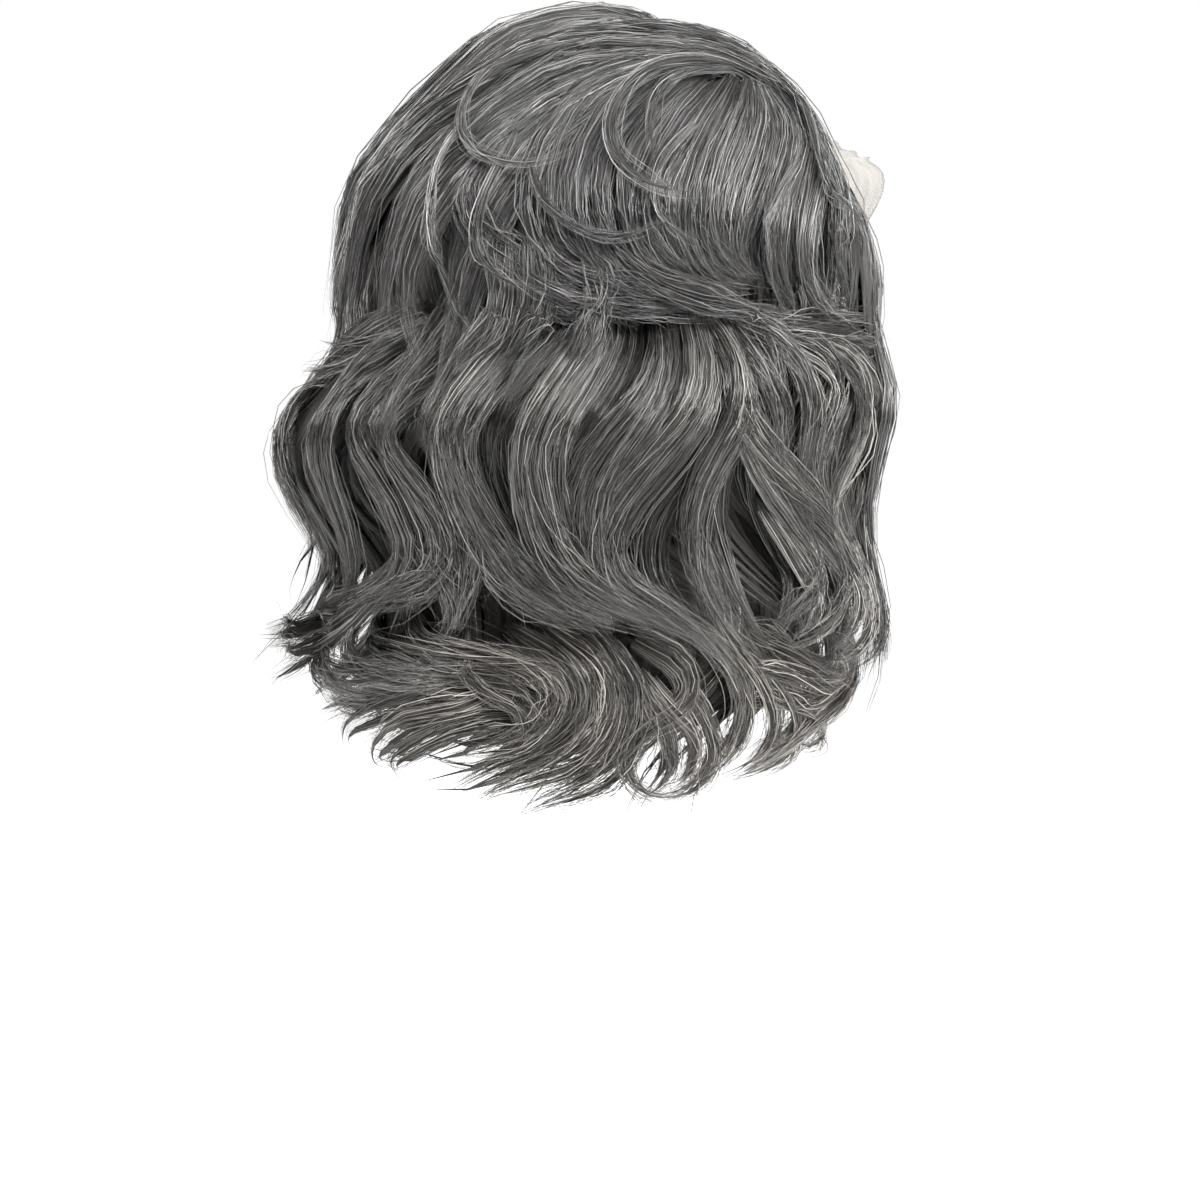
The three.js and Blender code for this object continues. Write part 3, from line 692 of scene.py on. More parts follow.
def mass_mesh(name, tones, paths, seed):
    """The body of each narrow lock: a flat oval along its path, drawn to a point at the tip."""
    rng = np.random.default_rng(seed)
    made = resample(paths, BODY_RINGS, FROM_ROOT, seed)
    many = len(made["point"])
    shape = (many, BODY_RINGS, BODY_SIDES)
    turn = np.arange(BODY_SIDES) * 2.0 * np.pi / BODY_SIDES
    ribs = 1.0 + rng.uniform(-0.2, 0.2, (many, 1, BODY_SIDES))
    share = np.linspace(0.0, 1.0, BODY_RINGS)[None, :, None]
    slim = 0.82 - 0.65 * smooth(share, 0.5, 1.0)
    wide = made["half_wide"][:, :, None] * np.cos(turn) * ribs * slim
    thick = made["half_thick"][:, :, None] * np.sin(turn) * ribs * slim
    points = made["point"][:, :, None] + made["across"][:, :, None] * wide[..., None]
    points = (points + made["up"][:, :, None] * thick[..., None]).reshape(-1, 3)
    ring = np.arange(BODY_SIDES)
    after = (ring + 1) % BODY_SIDES
    quads = []
    for j in range(BODY_RINGS - 1):
        low, high = j * BODY_SIDES, (j + 1) * BODY_SIDES
        quads.append(np.stack([low + ring, low + after, high + after, high + ring], axis=-1))
    starts = np.arange(many) * BODY_RINGS * BODY_SIDES
    faces = (np.concatenate(quads)[None] + starts[:, None, None]).reshape(-1, 4).tolist()
    for first in starts:
        last = first + (BODY_RINGS - 1) * BODY_SIDES
        faces.append((first + ring[::-1]).tolist())
        faces.append((last + ring).tolist())
    mesh = bpy.data.meshes.new(name)
    mesh.from_pydata(points.tolist(), [], faces)
    widest = made["half_wide"].max(axis=1)[:, None, None] / STREAK_WIDTH
    put_values(mesh, "along", np.broadcast_to(share, shape))
    put_values(mesh, "around", np.broadcast_to(np.cos(turn) * widest, shape))
    put_values(mesh, "tone", np.broadcast_to(tones[:, None, None], shape))
    mesh.polygons.foreach_set("use_smooth", np.ones(len(faces), dtype=bool))
    mesh.update()
    return mesh


def guide_object(name, tones, made):
    """Bare lines along the locks, which the strand tree turns into fibres."""
    many, count = made["point"].shape[:2]
    first = (np.arange(many) * count)[:, None] + np.arange(count - 1)
    edges = np.stack([first, first + 1], -1).reshape(-1, 2)
    mesh = bpy.data.meshes.new(name)
    mesh.from_pydata(made["point"].reshape(-1, 3).tolist(), edges.tolist(), [])
    put_values(mesh, "reach", made["across"] * made["half_wide"][..., None])
    put_values(mesh, "rise", made["up"] * made["half_thick"][..., None])
    put_values(mesh, "across", made["across"])
    put_values(mesh, "up", made["up"])
    put_values(mesh, "along", np.broadcast_to(np.linspace(0.0, 1.0, count), (many, count)))
    put_values(mesh, "tone", np.broadcast_to(tones[:, None], (many, count)))
    return add_object(name, mesh, [])


def strand_tree():
    """Copies each guide many times, spreads the copies over its lock, frays them and gives them thickness."""
    tree = bpy.data.node_groups.new("hair_strands", "GeometryNodeTree")
    face = tree.interface
    face.new_socket("Geometry", in_out="OUTPUT", socket_type="NodeSocketGeometry")
    kinds = {
        "Geometry": ["Geometry"],
        "Int": ["Count", "Sides", "Seed"],
        "Float": ["Half Width", "Cover", "Drift", "Fray", "Loose Share", "Loose Reach", "Cut", "Roll"],
        "Material": ["Material"],
    }
    for kind, names in kinds.items():
        for name in names:
            face.new_socket(name, in_out="INPUT", socket_type="NodeSocket" + kind)
    source = tree.nodes.new("NodeGroupInput")
    given = {name: Wire(tree, source.outputs[name]) for names in kinds.values() for name in names}
    begin = given["Geometry"]

    def attribute(name, kind):
        return begin.node("GeometryNodeInputNamedAttribute", {"data_type": kind}, {"Name": name}, "Attribute")

    def chance(low, high, number):
        seed = given["Seed"] + float(number)
        return begin.node("FunctionNodeRandomValue", {"data_type": "FLOAT"}, {
            "Min": low, "Max": high, "ID": who, "Seed": seed,
        })

    def store(geometry, name, value):
        return begin.node("GeometryNodeStoreNamedAttribute", {"data_type": "FLOAT", "domain": "POINT"}, {
            "Geometry": geometry, "Name": name, "Value": value,
        })

    def part_along(vector, axis):
        dot = begin.node("ShaderNodeVectorMath", {"operation": "DOT_PRODUCT"}, {0: vector, 1: axis}, "Value")
        return axis * dot

    curves = begin.node("GeometryNodeMeshToCurve", {}, {"Mesh": begin})
    curves = begin.node("GeometryNodeDuplicateElements", {"domain": "SPLINE"}, {
        "Geometry": curves, "Amount": given["Count"],
    }, "Geometry")
    who = begin.node("GeometryNodeCurveOfPoint", {}, {}, "Curve Index")
    along = attribute("along", "FLOAT")
    reach, rise, across, up = (attribute(name, "FLOAT_VECTOR") for name in ("reach", "rise", "across", "up"))
    turn = chance(-0.35, math.pi + 0.35, 1) + chance(-1.0, 1.0, 2) * given["Drift"] * along
    out = chance(0.72, 1.18, 3) * given["Cover"]
    spread = reach * (turn.cosine() * out) + rise * (turn.sine() * out)
    where = begin.node("ShaderNodeCombineXYZ", {}, {
        "X": along * 3.2, "Y": chance(0.0, 90.0, 4), "Z": chance(0.0, 90.0, 5),
    })
    shake = begin.node("ShaderNodeTexNoise", {}, {"Vector": where, "Scale": 1.0, "Detail": 0.0}, "Color")
    shake = begin.node("ShaderNodeVectorMath", {"operation": "SUBTRACT"}, {0: shake, 1: (0.5, 0.5, 0.5)})
    is_loose = begin.maths("LESS_THAN", chance(0.0, 1.0, 6), given["Loose Share"])
    amount = given["Fray"] * (along * 0.8 + 0.35) + is_loose * given["Loose Reach"] * along
    strayed = part_along(shake, across) + part_along(shake, up) * 0.7
    moved = begin.node("GeometryNodeSetPosition", {}, {
        "Geometry": curves, "Offset": spread + strayed * amount,
    })
    moved = begin.node("GeometryNodeTrimCurve", {"mode": "FACTOR"}, {
        "Curve": moved, "Start": chance(0.0, 0.08, 7), "End": 1.0 - chance(0.0, 1.0, 8) * given["Cut"],
    })
    roll = chance(-1.0, 1.0, 9) * given["Roll"]
    moved = begin.node("GeometryNodeSetCurveNormal", {"mode": "FREE"}, {
        "Curve": moved, "Normal": up * roll.cosine() + across * roll.sine(),
    })
    moved = store(moved, "tint", chance(0.0, 1.0, 10))
    ring = begin.node("GeometryNodeCurvePrimitiveCircle", {"mode": "RADIUS"}, {
        "Resolution": given["Sides"], "Radius": 1.0,
    })
    ring = store(ring, "around", begin.node("GeometryNodeInputPosition", {}, {}).part("Y"))
    factor = begin.node("GeometryNodeSplineParameter", {}, {}, "Factor")
    size = given["Half Width"] * chance(0.7, 1.3, 11) * factor.between(0.0, 0.12, 0.35, 1.0)
    size = size * factor.between(0.62, 1.0, 1.0, 0.12)
    solid = begin.node("GeometryNodeCurveToMesh", {}, {
        "Curve": moved, "Profile Curve": ring, "Scale": size, "Fill Caps": True,
    })
    solid = begin.node("GeometryNodeSetShadeSmooth", {"domain": "FACE"}, {
        "Geometry": solid, "Shade Smooth": True,
    })
    solid = begin.node("GeometryNodeRealizeInstances", {}, {"Geometry": solid})
    solid = begin.node("GeometryNodeSetMaterial", {}, {"Geometry": solid, "Material": given["Material"]})
    last = tree.nodes.new("NodeGroupOutput")
    tree.links.new(solid.socket, last.inputs["Geometry"])
    return tree


HAIR_STRANDS = strand_tree()


def grow(name, guides, settings):
    """Runs the strand tree on the guides and keeps the result as a plain mesh."""
    modifier = guides.modifiers.new("strands", "NODES")
    modifier.node_group = HAIR_STRANDS
    for item in HAIR_STRANDS.interface.items_tree:
        if item.in_out == "INPUT" and item.name in settings:
            modifier[item.identifier] = settings[item.name]
    ready = guides.evaluated_get(bpy.context.evaluated_depsgraph_get())
    mesh = bpy.data.meshes.new_from_object(ready)
    mesh.name = name
    guides.modifiers.remove(modifier)
    return add_object(name, mesh, [])


# The lock bodies under the strands take much darker greys than the strands: partly the dark fibres of the
# mix, partly painted shade under and between the strands.
MASS_GREYS = [(0.0, 0.003), (0.5, 0.022), (1.0, 0.12)]
FIBRE_GREYS = [(0.0, 0.006), (0.35, 0.022), (0.62, 0.066), (0.86, 0.18), (1.0, 0.38)]


def hair_material(name, gain, warm, rough, sheen, is_mass):
    """Mixed grey fibre: every strand has its own grey, a little paler towards its tip.
    Gain makes all the greys lighter, and warm takes some green and more blue out of them. Each layer's gain
    is set to match that part's brightness under these lamps, so it is partly painted light and shade."""
    material, tree, shader = new_material(name)
    begin = Wire(tree, None)

    def attribute(label):
        return begin.node("ShaderNodeAttribute", {"attribute_name": label}, {}, "Fac")

    along, around, tone = attribute("along"), attribute("around"), attribute("tone")
    where = begin.node("ShaderNodeCombineXYZ", {}, {
        "X": around + tone * 31.0, "Y": along * 4.0, "Z": tone * 17.0,
    })
    streak = begin.node("ShaderNodeTexNoise", {}, {
        "Vector": where, "Scale": 2.4, "Detail": 3.0, "Roughness": 0.65,
    }, "Fac")
    # A lock's tone shifts its grey: at random from lock to lock, and on the traced tables' darkest rows it is
    # painted shade in recesses and under the crown's edge.
    if is_mass:
        value = streak * 3.6 - 1.35 + tone * 0.1
    else:
        value = attribute("tint") * 0.95 + streak * 0.1 - 0.05 + tone * 0.09
    value = value + along.between(0.55, 1.0) * 0.06
    shares = (1.0, 1.0 - 0.45 * warm, 1.0 - warm)
    colour = colour_ramp(value, [
        (place, [round(grey * gain * share, 4) for share in shares])
        for place, grey in (MASS_GREYS if is_mass else FIBRE_GREYS)
    ])
    tree.links.new(colour.socket, shader.inputs["Base Color"])
    gloss = streak.between(0.2, 0.8, rough - 0.07, rough + 0.09)
    tree.links.new(gloss.socket, shader.inputs["Roughness"])
    shader.inputs["Specular IOR Level"].default_value = 0.3 if is_mass else 1.0
    shader.inputs["Specular Tint"].default_value = (*sheen, 1.0)
    if is_mass:
        bump(streak, shader, 0.8, 0.0008)
    return material


# Lower layer's greys: gains set to match this part's brightness under these lamps, so they are partly painted
# light.
LOW_SHEEN = (1.0, 0.975, 0.955)
LOW_MASS = hair_material("hair_low_mass", 0.82, 0.18, 0.4, LOW_SHEEN, True)
LOW_FIBRE = hair_material("hair_low_fibre", 1.5, 0.16, 0.26, LOW_SHEEN, False)
STRANDS = {
    "Sides": 3, "Half Width": 0.00022, "Cover": 1.1, "Drift": 0.8, "Fray": 0.005,
    "Loose Share": 0.14, "Loose Reach": 0.018, "Cut": 0.22, "Roll": 3.1,
}
SHOWN_STRANDS = {
    **STRANDS, "Half Width": 0.00017, "Drift": 1.5, "Fray": 0.009, "Loose Share": 0.22, "Loose Reach": 0.022,
    "Cut": 0.2,
}
WISP_STRANDS = {
    **SHOWN_STRANDS, "Count": 18, "Drift": 0.8, "Fray": 0.008, "Loose Share": 0.1, "Loose Reach": 0.012,
    "Cut": 0.15,
}
WISP_STEPS = 24
BARE_SHARE = 0.85


def make_hair(node, locks, comb, layer, mass, fibre, shows_from, seed, counts, traced, lead=30,
              shares=(7, 4)):
    """One layer: the narrow locks' bodies, and fine strands lying over them.
    Counts are the strands on each plain and on each traced lock, and the points of a strand. Shares are the
    narrow locks that each lock is split into, outside and deep inside. Under the traced locks most of the
    plain locks have no strands. Each traced table comes with how far over the layer it lies, in millimetres,
    and all but the first are wisps or locks between the waves."""
    outer = divide(locks, comb, shares[0], seed, False)
    inner = divide(locks, comb, shares[1], seed + 1, True)
    plain = lay(outer, layer)
    shown = [trace(text, layer, seed + 2 + over, lead, over) for over, text in traced]
    tones = np.concatenate([outer["tone"], inner["tone"], *(tone for tone, _ in shown)])
    laid = [plain, lay(inner, layer), *(paths for _, paths in shown)]
    bodies = {name: np.concatenate([paths[name] for paths in laid]) for name in PATH_PARTS}
    pieces = [add_object(node + "_locks", mass_mesh(node + "_locks", tones, bodies, seed), [mass])]
    lot = np.random.default_rng(seed + 3).uniform(0.0, 1.0, len(outer["tone"]))
    is_open = lot > BARE_SHARE * outer["covered"]
    bare = {name: values[is_open] for name, values in plain.items()}
    plain_count, shown_count, steps = counts
    sizes = {**STRANDS, "Count": plain_count}
    grown = [(node + "_strands", outer["tone"][is_open], bare, shows_from, sizes, steps)]
    for number, (tone, paths) in enumerate(shown):
        if number == 0:
            looks = ({**SHOWN_STRANDS, "Count": shown_count}, steps)
        else:
            looks = (WISP_STRANDS, WISP_STEPS)
        grown.append((f"{node}_shown_{number + 1}", tone, paths, FROM_ROOT, *looks))
    for name, tone, paths, start, sizes, points in grown:
        guides = guide_object(name + "_guides", tone, resample(paths, points, start, seed + 5))
        pieces.append(grow(name, guides, {**sizes, "Seed": seed, "Material": fibre}))
        bpy.data.objects.remove(guides)
    for piece in pieces:
        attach(piece, "root")
        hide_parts(node)


nape = read_table(NAPE_LOCKS)
nape["root_drop"] = nape_root_drop(nape["hang"])
make_hair("nape_hair", nape, NAPE_COMB, "nape", LOW_MASS, LOW_FIBRE, 0.07, 11, (9, 29, 17),
          [(0, NAPE_TRACED)])


# Back hair
# The middle layer at the back: a row of fibre sewn above the ears and set in deep waves, swept to one side at
# the tips.
BACK_LOCKS = """
    hang   reach  swing  wave_at  curl  lift   width
     -50   0.160   46     0.002   -50   0.002  0.038
     -32   0.162   46     0.002   -50   0.002  0.038
     -14   0.160   46     0.004   -50   0.002  0.038
       4   0.158   44     0.004   -45   0.002  0.038
      22   0.156   42     0.006   -20   0.004  0.038
      40   0.156   40     0.008    60   0.016  0.038
"""
# The last row, from 590,300, has a dark tone: painted shade in the recess between two locks.
BACK_TRACED = """
    34  -3  3 -0.5  442,395 446,435 452,470 466,505 484,540 508,575 545,605 595,628
    40  -3  3  0.0  535,318 510,355 480,395 462,430 459,462 471,500 494,545 527,585 575,615 630,630
    42  -3  4  0.2  605,300 598,338 572,378 548,415 535,455 537,492 547,530 566,567 602,598 652,622 700,640
    38  -3  3 -0.4  658,305 664,350 652,395 622,435 594,475 584,515 592,555 614,588 654,614 705,644
    38  -2  4  0.3  690,315 702,358 696,405 668,447 634,487 610,528 608,565 625,592 665,612 715,650 742,690
    30  -3  3 -0.3  705,312 732,350 740,390 731,430 708,470 694,510 693,552 705,592 732,632 757,665
    34  -3  5  0.2  715,330 738,378 742,412 764,448 797,486 826,516 846,552
    26  -4  4 -0.2  735,420 752,465 778,505 803,538 816,568 812,595 788,616 764,640
    30  -4  2 -1.3  505,285 486,322 462,360 440,398 428,432 436,462
    30  -4  2 -0.9  470,275 452,315 426,352 402,388 388,420 392,448
    28  -4 -2 -0.8  590,300 566,332 540,362 516,392 503,420
"""
# Locks set 6 mm deeper between the crests. Their dark tones are painted shade in the recesses, added to the
# real shade of lying deeper.
BACK_DEEPER_PAINTED_DARK = """
    32   0  1 -2.2  565,318 540,350 514,390 498,425 494,458 503,492 520,530 546,570 586,600 645,622
    34   0  1 -2.0  632,305 630,345 608,388 580,428 564,465 564,500 574,540 597,575 634,604 690,630
    30   0  2 -1.2  698,312 720,350 726,398 706,443 676,482 654,522 650,562 662,595 690,620 725,655 748,700
    28   0  2 -0.9  728,400 722,440 712,480 712,520 722,560 735,600 752,635 765,660
    26   0  2 -0.9  760,440 758,490 770,535 786,575 784,610 768,640
"""
MID_COMB = {"root_drop": -0.05, "via": 74, "pitch": 0.124, "curl_share": 0.22, "root_share": 0.4, "puff": 0.0}
# Middle layer's greys: the darkest gains of the three layers, partly painted shade.
MID_SHEEN = (1.0, 0.985, 0.965)
MID_MASS = hair_material("hair_mid_mass", 0.72, 0.12, 0.35, MID_SHEEN, True)
MID_FIBRE = hair_material("hair_mid_fibre", 0.95, 0.1, 0.26, MID_SHEEN, False)
MID_SHOWS_FROM = -0.03
make_hair("back_hair", read_table(BACK_LOCKS), MID_COMB, "mid", MID_MASS, MID_FIBRE,
          MID_SHOWS_FROM, 21, (8, 44, 17), [(0, BACK_TRACED), (-6, BACK_DEEPER_PAINTED_DARK)])


# Side hair
# The same row of grey fibre on either side, sewn to the cap over the ears and thinning towards the face. On
# the wearer's left its tips are set to flip outwards.
RIGHT_SIDE_LOCKS = """
    hang   reach  swing  wave_at  curl  lift   width
    -120   0.168   24    -0.016    40   0.002  0.022
    -104   0.158   34    -0.012    50   0.004  0.034
     -86   0.156   40    -0.007    20   0.002  0.038
     -68   0.157   43    -0.002   -35   0.002  0.038
"""
LEFT_SIDE_LOCKS = """
    hang   reach  swing  wave_at  curl  lift   width
      58   0.158   37     0.009    75   0.032  0.038
      76   0.156   35     0.006    65   0.026  0.038
      93   0.156   33    -0.002   -40   0.010  0.036
     108   0.160   29    -0.010   -45   0.004  0.030
     120   0.168   24    -0.016   -40   0.002  0.022
"""
RIGHT_SIDE_TRACED = """
    28  -4  3  0.9  705,312 745,325 782,345 803,375 811,410 806,445 800,480 806,510 812,540
    30  -4  2 -0.3  730,322 756,350 772,382 777,415 776,448 786,482
    24  -4  2  0.6  790,340 822,358 836,385 830,412 818,442 814,475 822,505 832,535
    26  -4  2  0.9  820,345 850,368 861,400 858,435 846,465 834,495 832,525 840,555
    26  -4  2  0.6  846,345 870,370 876,405 872,445 862,485 850,520 842,550
    20  -3  2  0.7  870,345 884,375 884,420 878,465 870,510 860,545
    18   0  2  0.8  770,325 815,330 855,338 885,350
    14   0  2  0.6  780,318 830,322 875,324
    22  -3  2  0.6  800,520 825,550 842,580 838,612 815,635 785,648
    20  -3  2  0.8  835,540 850,572 856,605 846,635 822,655
    16  -3  2  0.8  856,560 866,595 866,630 850,655 825,668
    20  -3  2  0.3  770,520 795,555 815,590 812,622 790,640
     8  -3  1  0.9  872,350 884,390 886,440 880,490 868,540 870,580 882,620 886,645 872,662 845,680 820,704
     7  -3  1  0.9  858,352 878,400 880,450 872,500 864,550 874,590 880,630 870,655 848,668
"""
LEFT_SIDE_TRACED = """
    40  -5  3  0.0  405,318 362,342 322,378 293,418 282,455 292,492 316,532 334,575 335,605
    36  -5  3 -0.3  415,335 372,362 338,398 320,438 326,478 342,518 352,560 350,600 325,618
    34  -5  4  0.0  425,355 385,385 360,420 364,448 385,478 402,510 412,545 402,578 375,597 335,606
    32  -5  4 -0.3  438,385 405,405 388,432 396,458 420,488 440,520 448,552 435,580 400,596 352,606
    26  -5  2 -0.3  445,470 455,505 470,540 478,575 470,605 455,635
    26  -5  2 -0.3  420,540 445,580 452,612 448,645
    24  -2 26  0.3  400,560 375,592 340,610 300,624 266,628
    22  -2 26  0.3  390,580 355,606 325,622 295,636 262,636
    18  -2 24  0.5  385,595 350,622 325,638 300,648 270,648
    12  -2 20  0.5  372,612 345,640 322,655 298,668 272,690
    24  -2  3  0.3  345,612 322,640 318,662 335,676 370,680 420,676
    20  -2  3  0.3  360,615 350,645 360,668 400,676 450,676
    20  -3  3  0.0  375,605 340,632 325,655 340,690 380,700
     6  -3 10  0.4  410,322 372,338 338,346 308,344
     6  -3 10  0.4  400,338 362,358 330,370 300,372
"""
make_hair("right_side_hair", read_table(RIGHT_SIDE_LOCKS), MID_COMB, "mid", MID_MASS, MID_FIBRE,
          MID_SHOWS_FROM, 31, (14, 32, 16), [(0, RIGHT_SIDE_TRACED)])
make_hair("left_side_hair", read_table(LEFT_SIDE_LOCKS), MID_COMB, "mid", MID_MASS, MID_FIBRE,
          MID_SHOWS_FROM, 41, (14, 30, 16), [(0, LEFT_SIDE_TRACED)])


# Crown hair
# The top layer, fanned out from the end of the side parting over the crown and cut short, so that its ends
# sweep across the waves of the layer below.
CROWN_LOCKS = """
    root  root_drop  hang  reach   curl  puff   width
    -130  -0.083     -94    0.016   40   0.011  0.043
    -119  -0.091     -73    0.012   20   0.016  0.045
    -112  -0.096     -52    0.005  -60   0.013  0.046
    -112  -0.098     -31   -0.002  -80   0.008  0.048
    -113  -0.098     -10   -0.005  -85   0.005  0.049
    -115  -0.097      11   -0.005  -75   0.004  0.050
    -119  -0.095      32    0.012   15   0.005  0.051
    -125  -0.092      53    0.024   40   0.006  0.051
    -132  -0.087      74    0.030   50   0.004  0.051
    -141  -0.082      95    0.024   40   0.006  0.048
"""
# Rows with tones of -0.7 and darker lie at the crown's lower edge. Their dark tone is painted shade under the
# edge.
CROWN_TRACED = """
    58   0 -6  0.0  733,62 650,44 560,48 485,82 420,130 378,180 358,235 348,300 338,345
    54   0 -6  0.2  733,64 645,54 565,66 495,108 440,162 405,225 390,290 384,350
    46   0 -6  0.2  733,66 655,62 580,88 510,132 455,182 425,235 410,290 418,345 436,385
    42   0 -6  0.3  734,68 660,74 590,107 535,152 500,202 478,252 462,310 450,355 446,385
    34  -2 -5  0.1  733,68 660,66 575,100 520,140 482,190 462,240 452,300 470,345
    44   0 -8 -1.2  560,85 500,145 470,180 470,215 495,245 540,268 590,280 640,287
    44   0 -8 -1.0  640,62 590,95 560,135 545,180 545,220 560,252 595,275 640,290 690,296
    44   0 -7 -0.8  680,66 635,95 605,130 590,170 588,210 600,245 630,272 675,290 720,296
    42   0 -8 -0.7  715,75 680,105 650,145 635,185 635,220 648,252 680,280 720,292 755,290
    40   0 -8  0.0  728,78 705,110 680,150 665,190 665,225 678,255 705,278 740,288
    38   0 -7  0.2  738,80 728,115 708,155 695,200 694,238 706,266 732,284 765,288
    38   0 -8  0.0  746,80 742,115 726,155 714,200 713,238 724,262 746,278 775,282
    38   0 -8 -0.2  758,84 766,120 756,155 742,190 734,222 734,252 748,274 778,288
    38   0 -6  0.3  765,78 792,115 796,150 784,185 774,225 775,265 785,300 800,325
    30   0 -7  0.6  775,82 806,118 820,150 814,195 808,240 812,280 832,315 865,325
    28   0 -6  0.2  790,92 816,130 832,170 838,205 836,245 842,280 852,310
    28   0 -6  0.2  690,42 740,58 775,80 802,112 818,150 834,190 852,225 866,255 872,300
    34   0 -8  0.1  660,44 705,50 745,66 780,92 800,122 812,160 815,205 812,250
    30   0 -8  0.0  640,40 690,44 735,54 766,72 790,100 804,135 806,175 800,220
    22  -2  0  0.0  580,34 630,30 676,32 716,42 750,60 780,88 800,120
    30   0 -10 0.0  505,225 506,270 496,312 474,350 452,385
    30   0 -10 -0.4 530,232 540,270 538,305 520,338 500,368
    28   0 -10 -0.4 585,250 600,285 596,318 578,348 562,374
    28  -3 -8 -1.8  520,215 528,240 560,270 610,288 660,300 715,312
    26  -3 -8 -1.8  600,220 615,250 650,280 700,300 750,312 790,325
    24  -3 -8 -1.8  500,240 520,275 560,298 600,312 640,330
"""
CROWN_WISPS = """
     8   0  3  0.5  590,42 540,52 492,70 470,97 463,124 469,144 487,157 516,164 552,160 580,150
    11   1  8  0.8  735,64 700,60 660,67 630,86 613,111 608,133 614,157 630,176 654,190 684,196 715,196
     7   1  5  0.5  733,69 700,74 672,85 653,103 644,125 646,150 656,170
     6   0  4  0.3  530,160 540,195 560,220 590,236 622,239 652,226 672,208
     5   0  4  0.7  700,120 668,150 655,180 660,215 685,240 720,250
     5   0  4  0.5  470,120 440,165 428,210 436,250 460,280
     5   0  3  0.5  520,130 490,175 480,220 492,262 530,290 575,305
     5   0  3  0.5  390,150 355,200 340,250 330,300
     4   0  3  0.5  800,150 780,190 770,230 780,275
     6   0  2  1.1  782,80 803,102 812,130 818,162 830,190 850,212 872,230
"""
CROWN_EDGE = """
     6  -1 -3  0.0  500,255 545,285 600,303 660,312 720,322
     6  -1 -3 -0.2  560,262 610,290 670,305 735,312 790,330
     6  -1 -3  0.2  610,268 660,292 715,303 770,305 800,318
     5  -1 -3  0.2  440,260 455,300 480,335 500,350
     5  -1 -3  0.4  700,285 740,305 775,325 800,350
"""
CROWN_COMB = {
    "via": 46, "swing": 8, "pitch": 0.12, "wave_at": -0.06, "curl_share": 0.34, "root_share": 0.75,
    "lift": 0.0,
}
# Top layer's greys: made lighter than the middle layer's, partly painted light falling from above.
TOP_SHEEN = (1.0, 0.985, 0.98)
TOP_MASS = hair_material("hair_top_mass", 0.95, 0.05, 0.4, TOP_SHEEN, True)
TOP_FIBRE = hair_material("hair_top_fibre", 1.05, 0.05, 0.28, TOP_SHEEN, False)
make_hair("crown_hair", read_table(CROWN_LOCKS), CROWN_COMB, "crown", TOP_MASS, TOP_FIBRE,
          FROM_ROOT, 51, (9, 26, 13), [(0, CROWN_TRACED), (5, CROWN_WISPS), (-5, CROWN_EDGE)], 0, (12, 5))


# Front hair
# Fibre rooted along the hairline on both sides of the parting and combed back, with a thin long lock at each
# temple.
FRONT_LOCKS = """
    root  root_drop  hang  reach   curl  puff   width
    -131  -0.046    -116    0.150   40   0.004  0.016
    -142  -0.058    -109    0.044   40   0.007  0.034
    -151  -0.068    -101    0.030   40   0.009  0.036
    -157  -0.071     102    0.034  -40   0.007  0.040
     178  -0.070     110    0.048  -40   0.008  0.040
     154  -0.064     117    0.064  -40   0.007  0.036
     134  -0.048     121    0.150  -40   0.003  0.018
"""
FRONT_COMB = {
    "via": 50, "swing": 20, "pitch": 0.124, "wave_at": -0.01, "curl_share": 0.3, "root_share": 0.5,
    "lift": 0.0,
}
make_hair("front_hair", read_table(FRONT_LOCKS), FRONT_COMB, "crown", TOP_MASS, TOP_FIBRE,
          FROM_ROOT, 61, (14, 30, 14), [], 0)


# Studio
# A pale floor, soft light from large panels and a long lens at the photograph's angle, behind the wearer's
# right shoulder.
FLOOR_LEVEL = -0.459
FLOOR_HALF = 6.0
LIGHT_TARGET = Vector((0.0, 0.0, -0.15))


def aim(thing, target):
    thing.rotation_euler = (Vector(target) - thing.location).to_track_quat("-Z", "Y").to_euler()


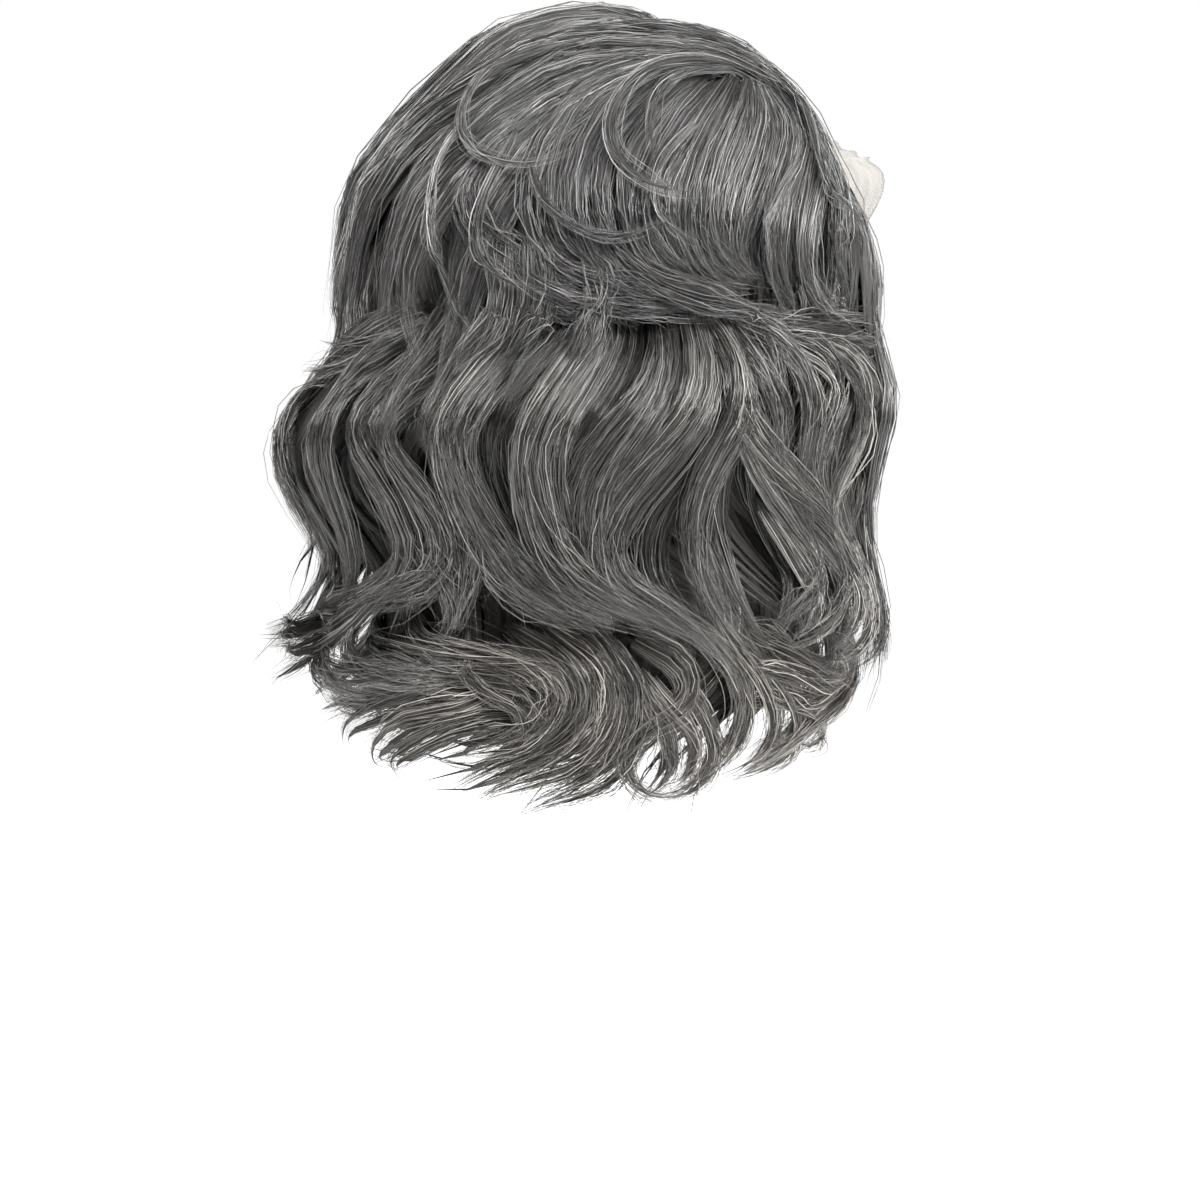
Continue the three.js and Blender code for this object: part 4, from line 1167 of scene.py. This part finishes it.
floor_mesh = bpy.data.meshes.new("studio_floor")
floor_mesh.from_pydata([
    (x * FLOOR_HALF, y * FLOOR_HALF, FLOOR_LEVEL) for x, y in ((-1, -1), (1, -1), (1, 1), (-1, 1))
], [], [(0, 1, 2, 3)])
floor_paint, tree, shader = new_material("studio_floor")
shader.inputs["Base Color"].default_value = (0.9, 0.9, 0.9, 1.0)
shader.inputs["Roughness"].default_value = 0.9
seen = Wire(tree, None).node("ShaderNodeLightPath", {}, {}, "Is Camera Ray")
glow = colour_ramp(seen * 0.9, [(0.0, (0.0, 0.0, 0.0)), (1.0, (1.0, 1.0, 1.0))])
tree.links.new(glow.socket, shader.inputs["Emission Color"])
shader.inputs["Emission Strength"].default_value = 1.0
floor = add_object("studio_floor", floor_mesh, [floor_paint])

camera = bpy.data.objects.new("camera", bpy.data.cameras.new("camera"))
bpy.context.scene.collection.objects.link(camera)
camera.location = Vector(VIEW_TARGET + VIEW_BACK * VIEW_DISTANCE)
camera.data.lens = camera.data.sensor_width * VIEW_DISTANCE / (PICTURE_SIZE * PICTURE_SCALE)
aim(camera, VIEW_TARGET)
bpy.context.scene.camera = camera

LIGHTS = [
    # name, turn from the camera to image right in degrees, rise, distance, size, watts
    ("key_panel", 18.0, 34.0, 1.9, 0.5, 36.0),
    ("left_panel", -75.0, 35.0, 1.6, 0.9, 30.0),
    ("right_panel", 70.0, 25.0, 1.6, 0.9, 40.0),
    ("top_panel", 10.0, 80.0, 1.4, 0.8, 14.0),
    ("far_panel", 180.0, 30.0, 1.9, 0.8, 20.0),
]
for name, turn, rise, distance, size, watts in LIGHTS:
    bearing = math.atan2(VIEW_BACK[1], VIEW_BACK[0]) + math.radians(turn)
    lamp = bpy.data.lights.new(name, "AREA")
    lamp.energy = watts
    lamp.shape = "DISK"
    lamp.size = size
    panel = bpy.data.objects.new(name, lamp)
    bpy.context.scene.collection.objects.link(panel)
    flat = math.cos(math.radians(rise))
    way = Vector((math.cos(bearing) * flat, math.sin(bearing) * flat, math.sin(math.radians(rise))))
    panel.location = way * distance
    panel.location += LIGHT_TARGET
    aim(panel, LIGHT_TARGET)

world = bpy.data.worlds.new("studio")
world.use_nodes = True
sky = world.node_tree.nodes["Background"]
sky.inputs["Color"].default_value = (1.0, 1.0, 1.0, 1.0)
light = Wire(world.node_tree, None).node("ShaderNodeLightPath", {}, {}, "Is Camera Ray") * 0.85 + 0.15
world.node_tree.links.new(light.socket, sky.inputs["Strength"])
bpy.context.scene.world = world
bpy.context.scene.view_settings.view_transform = "Standard"
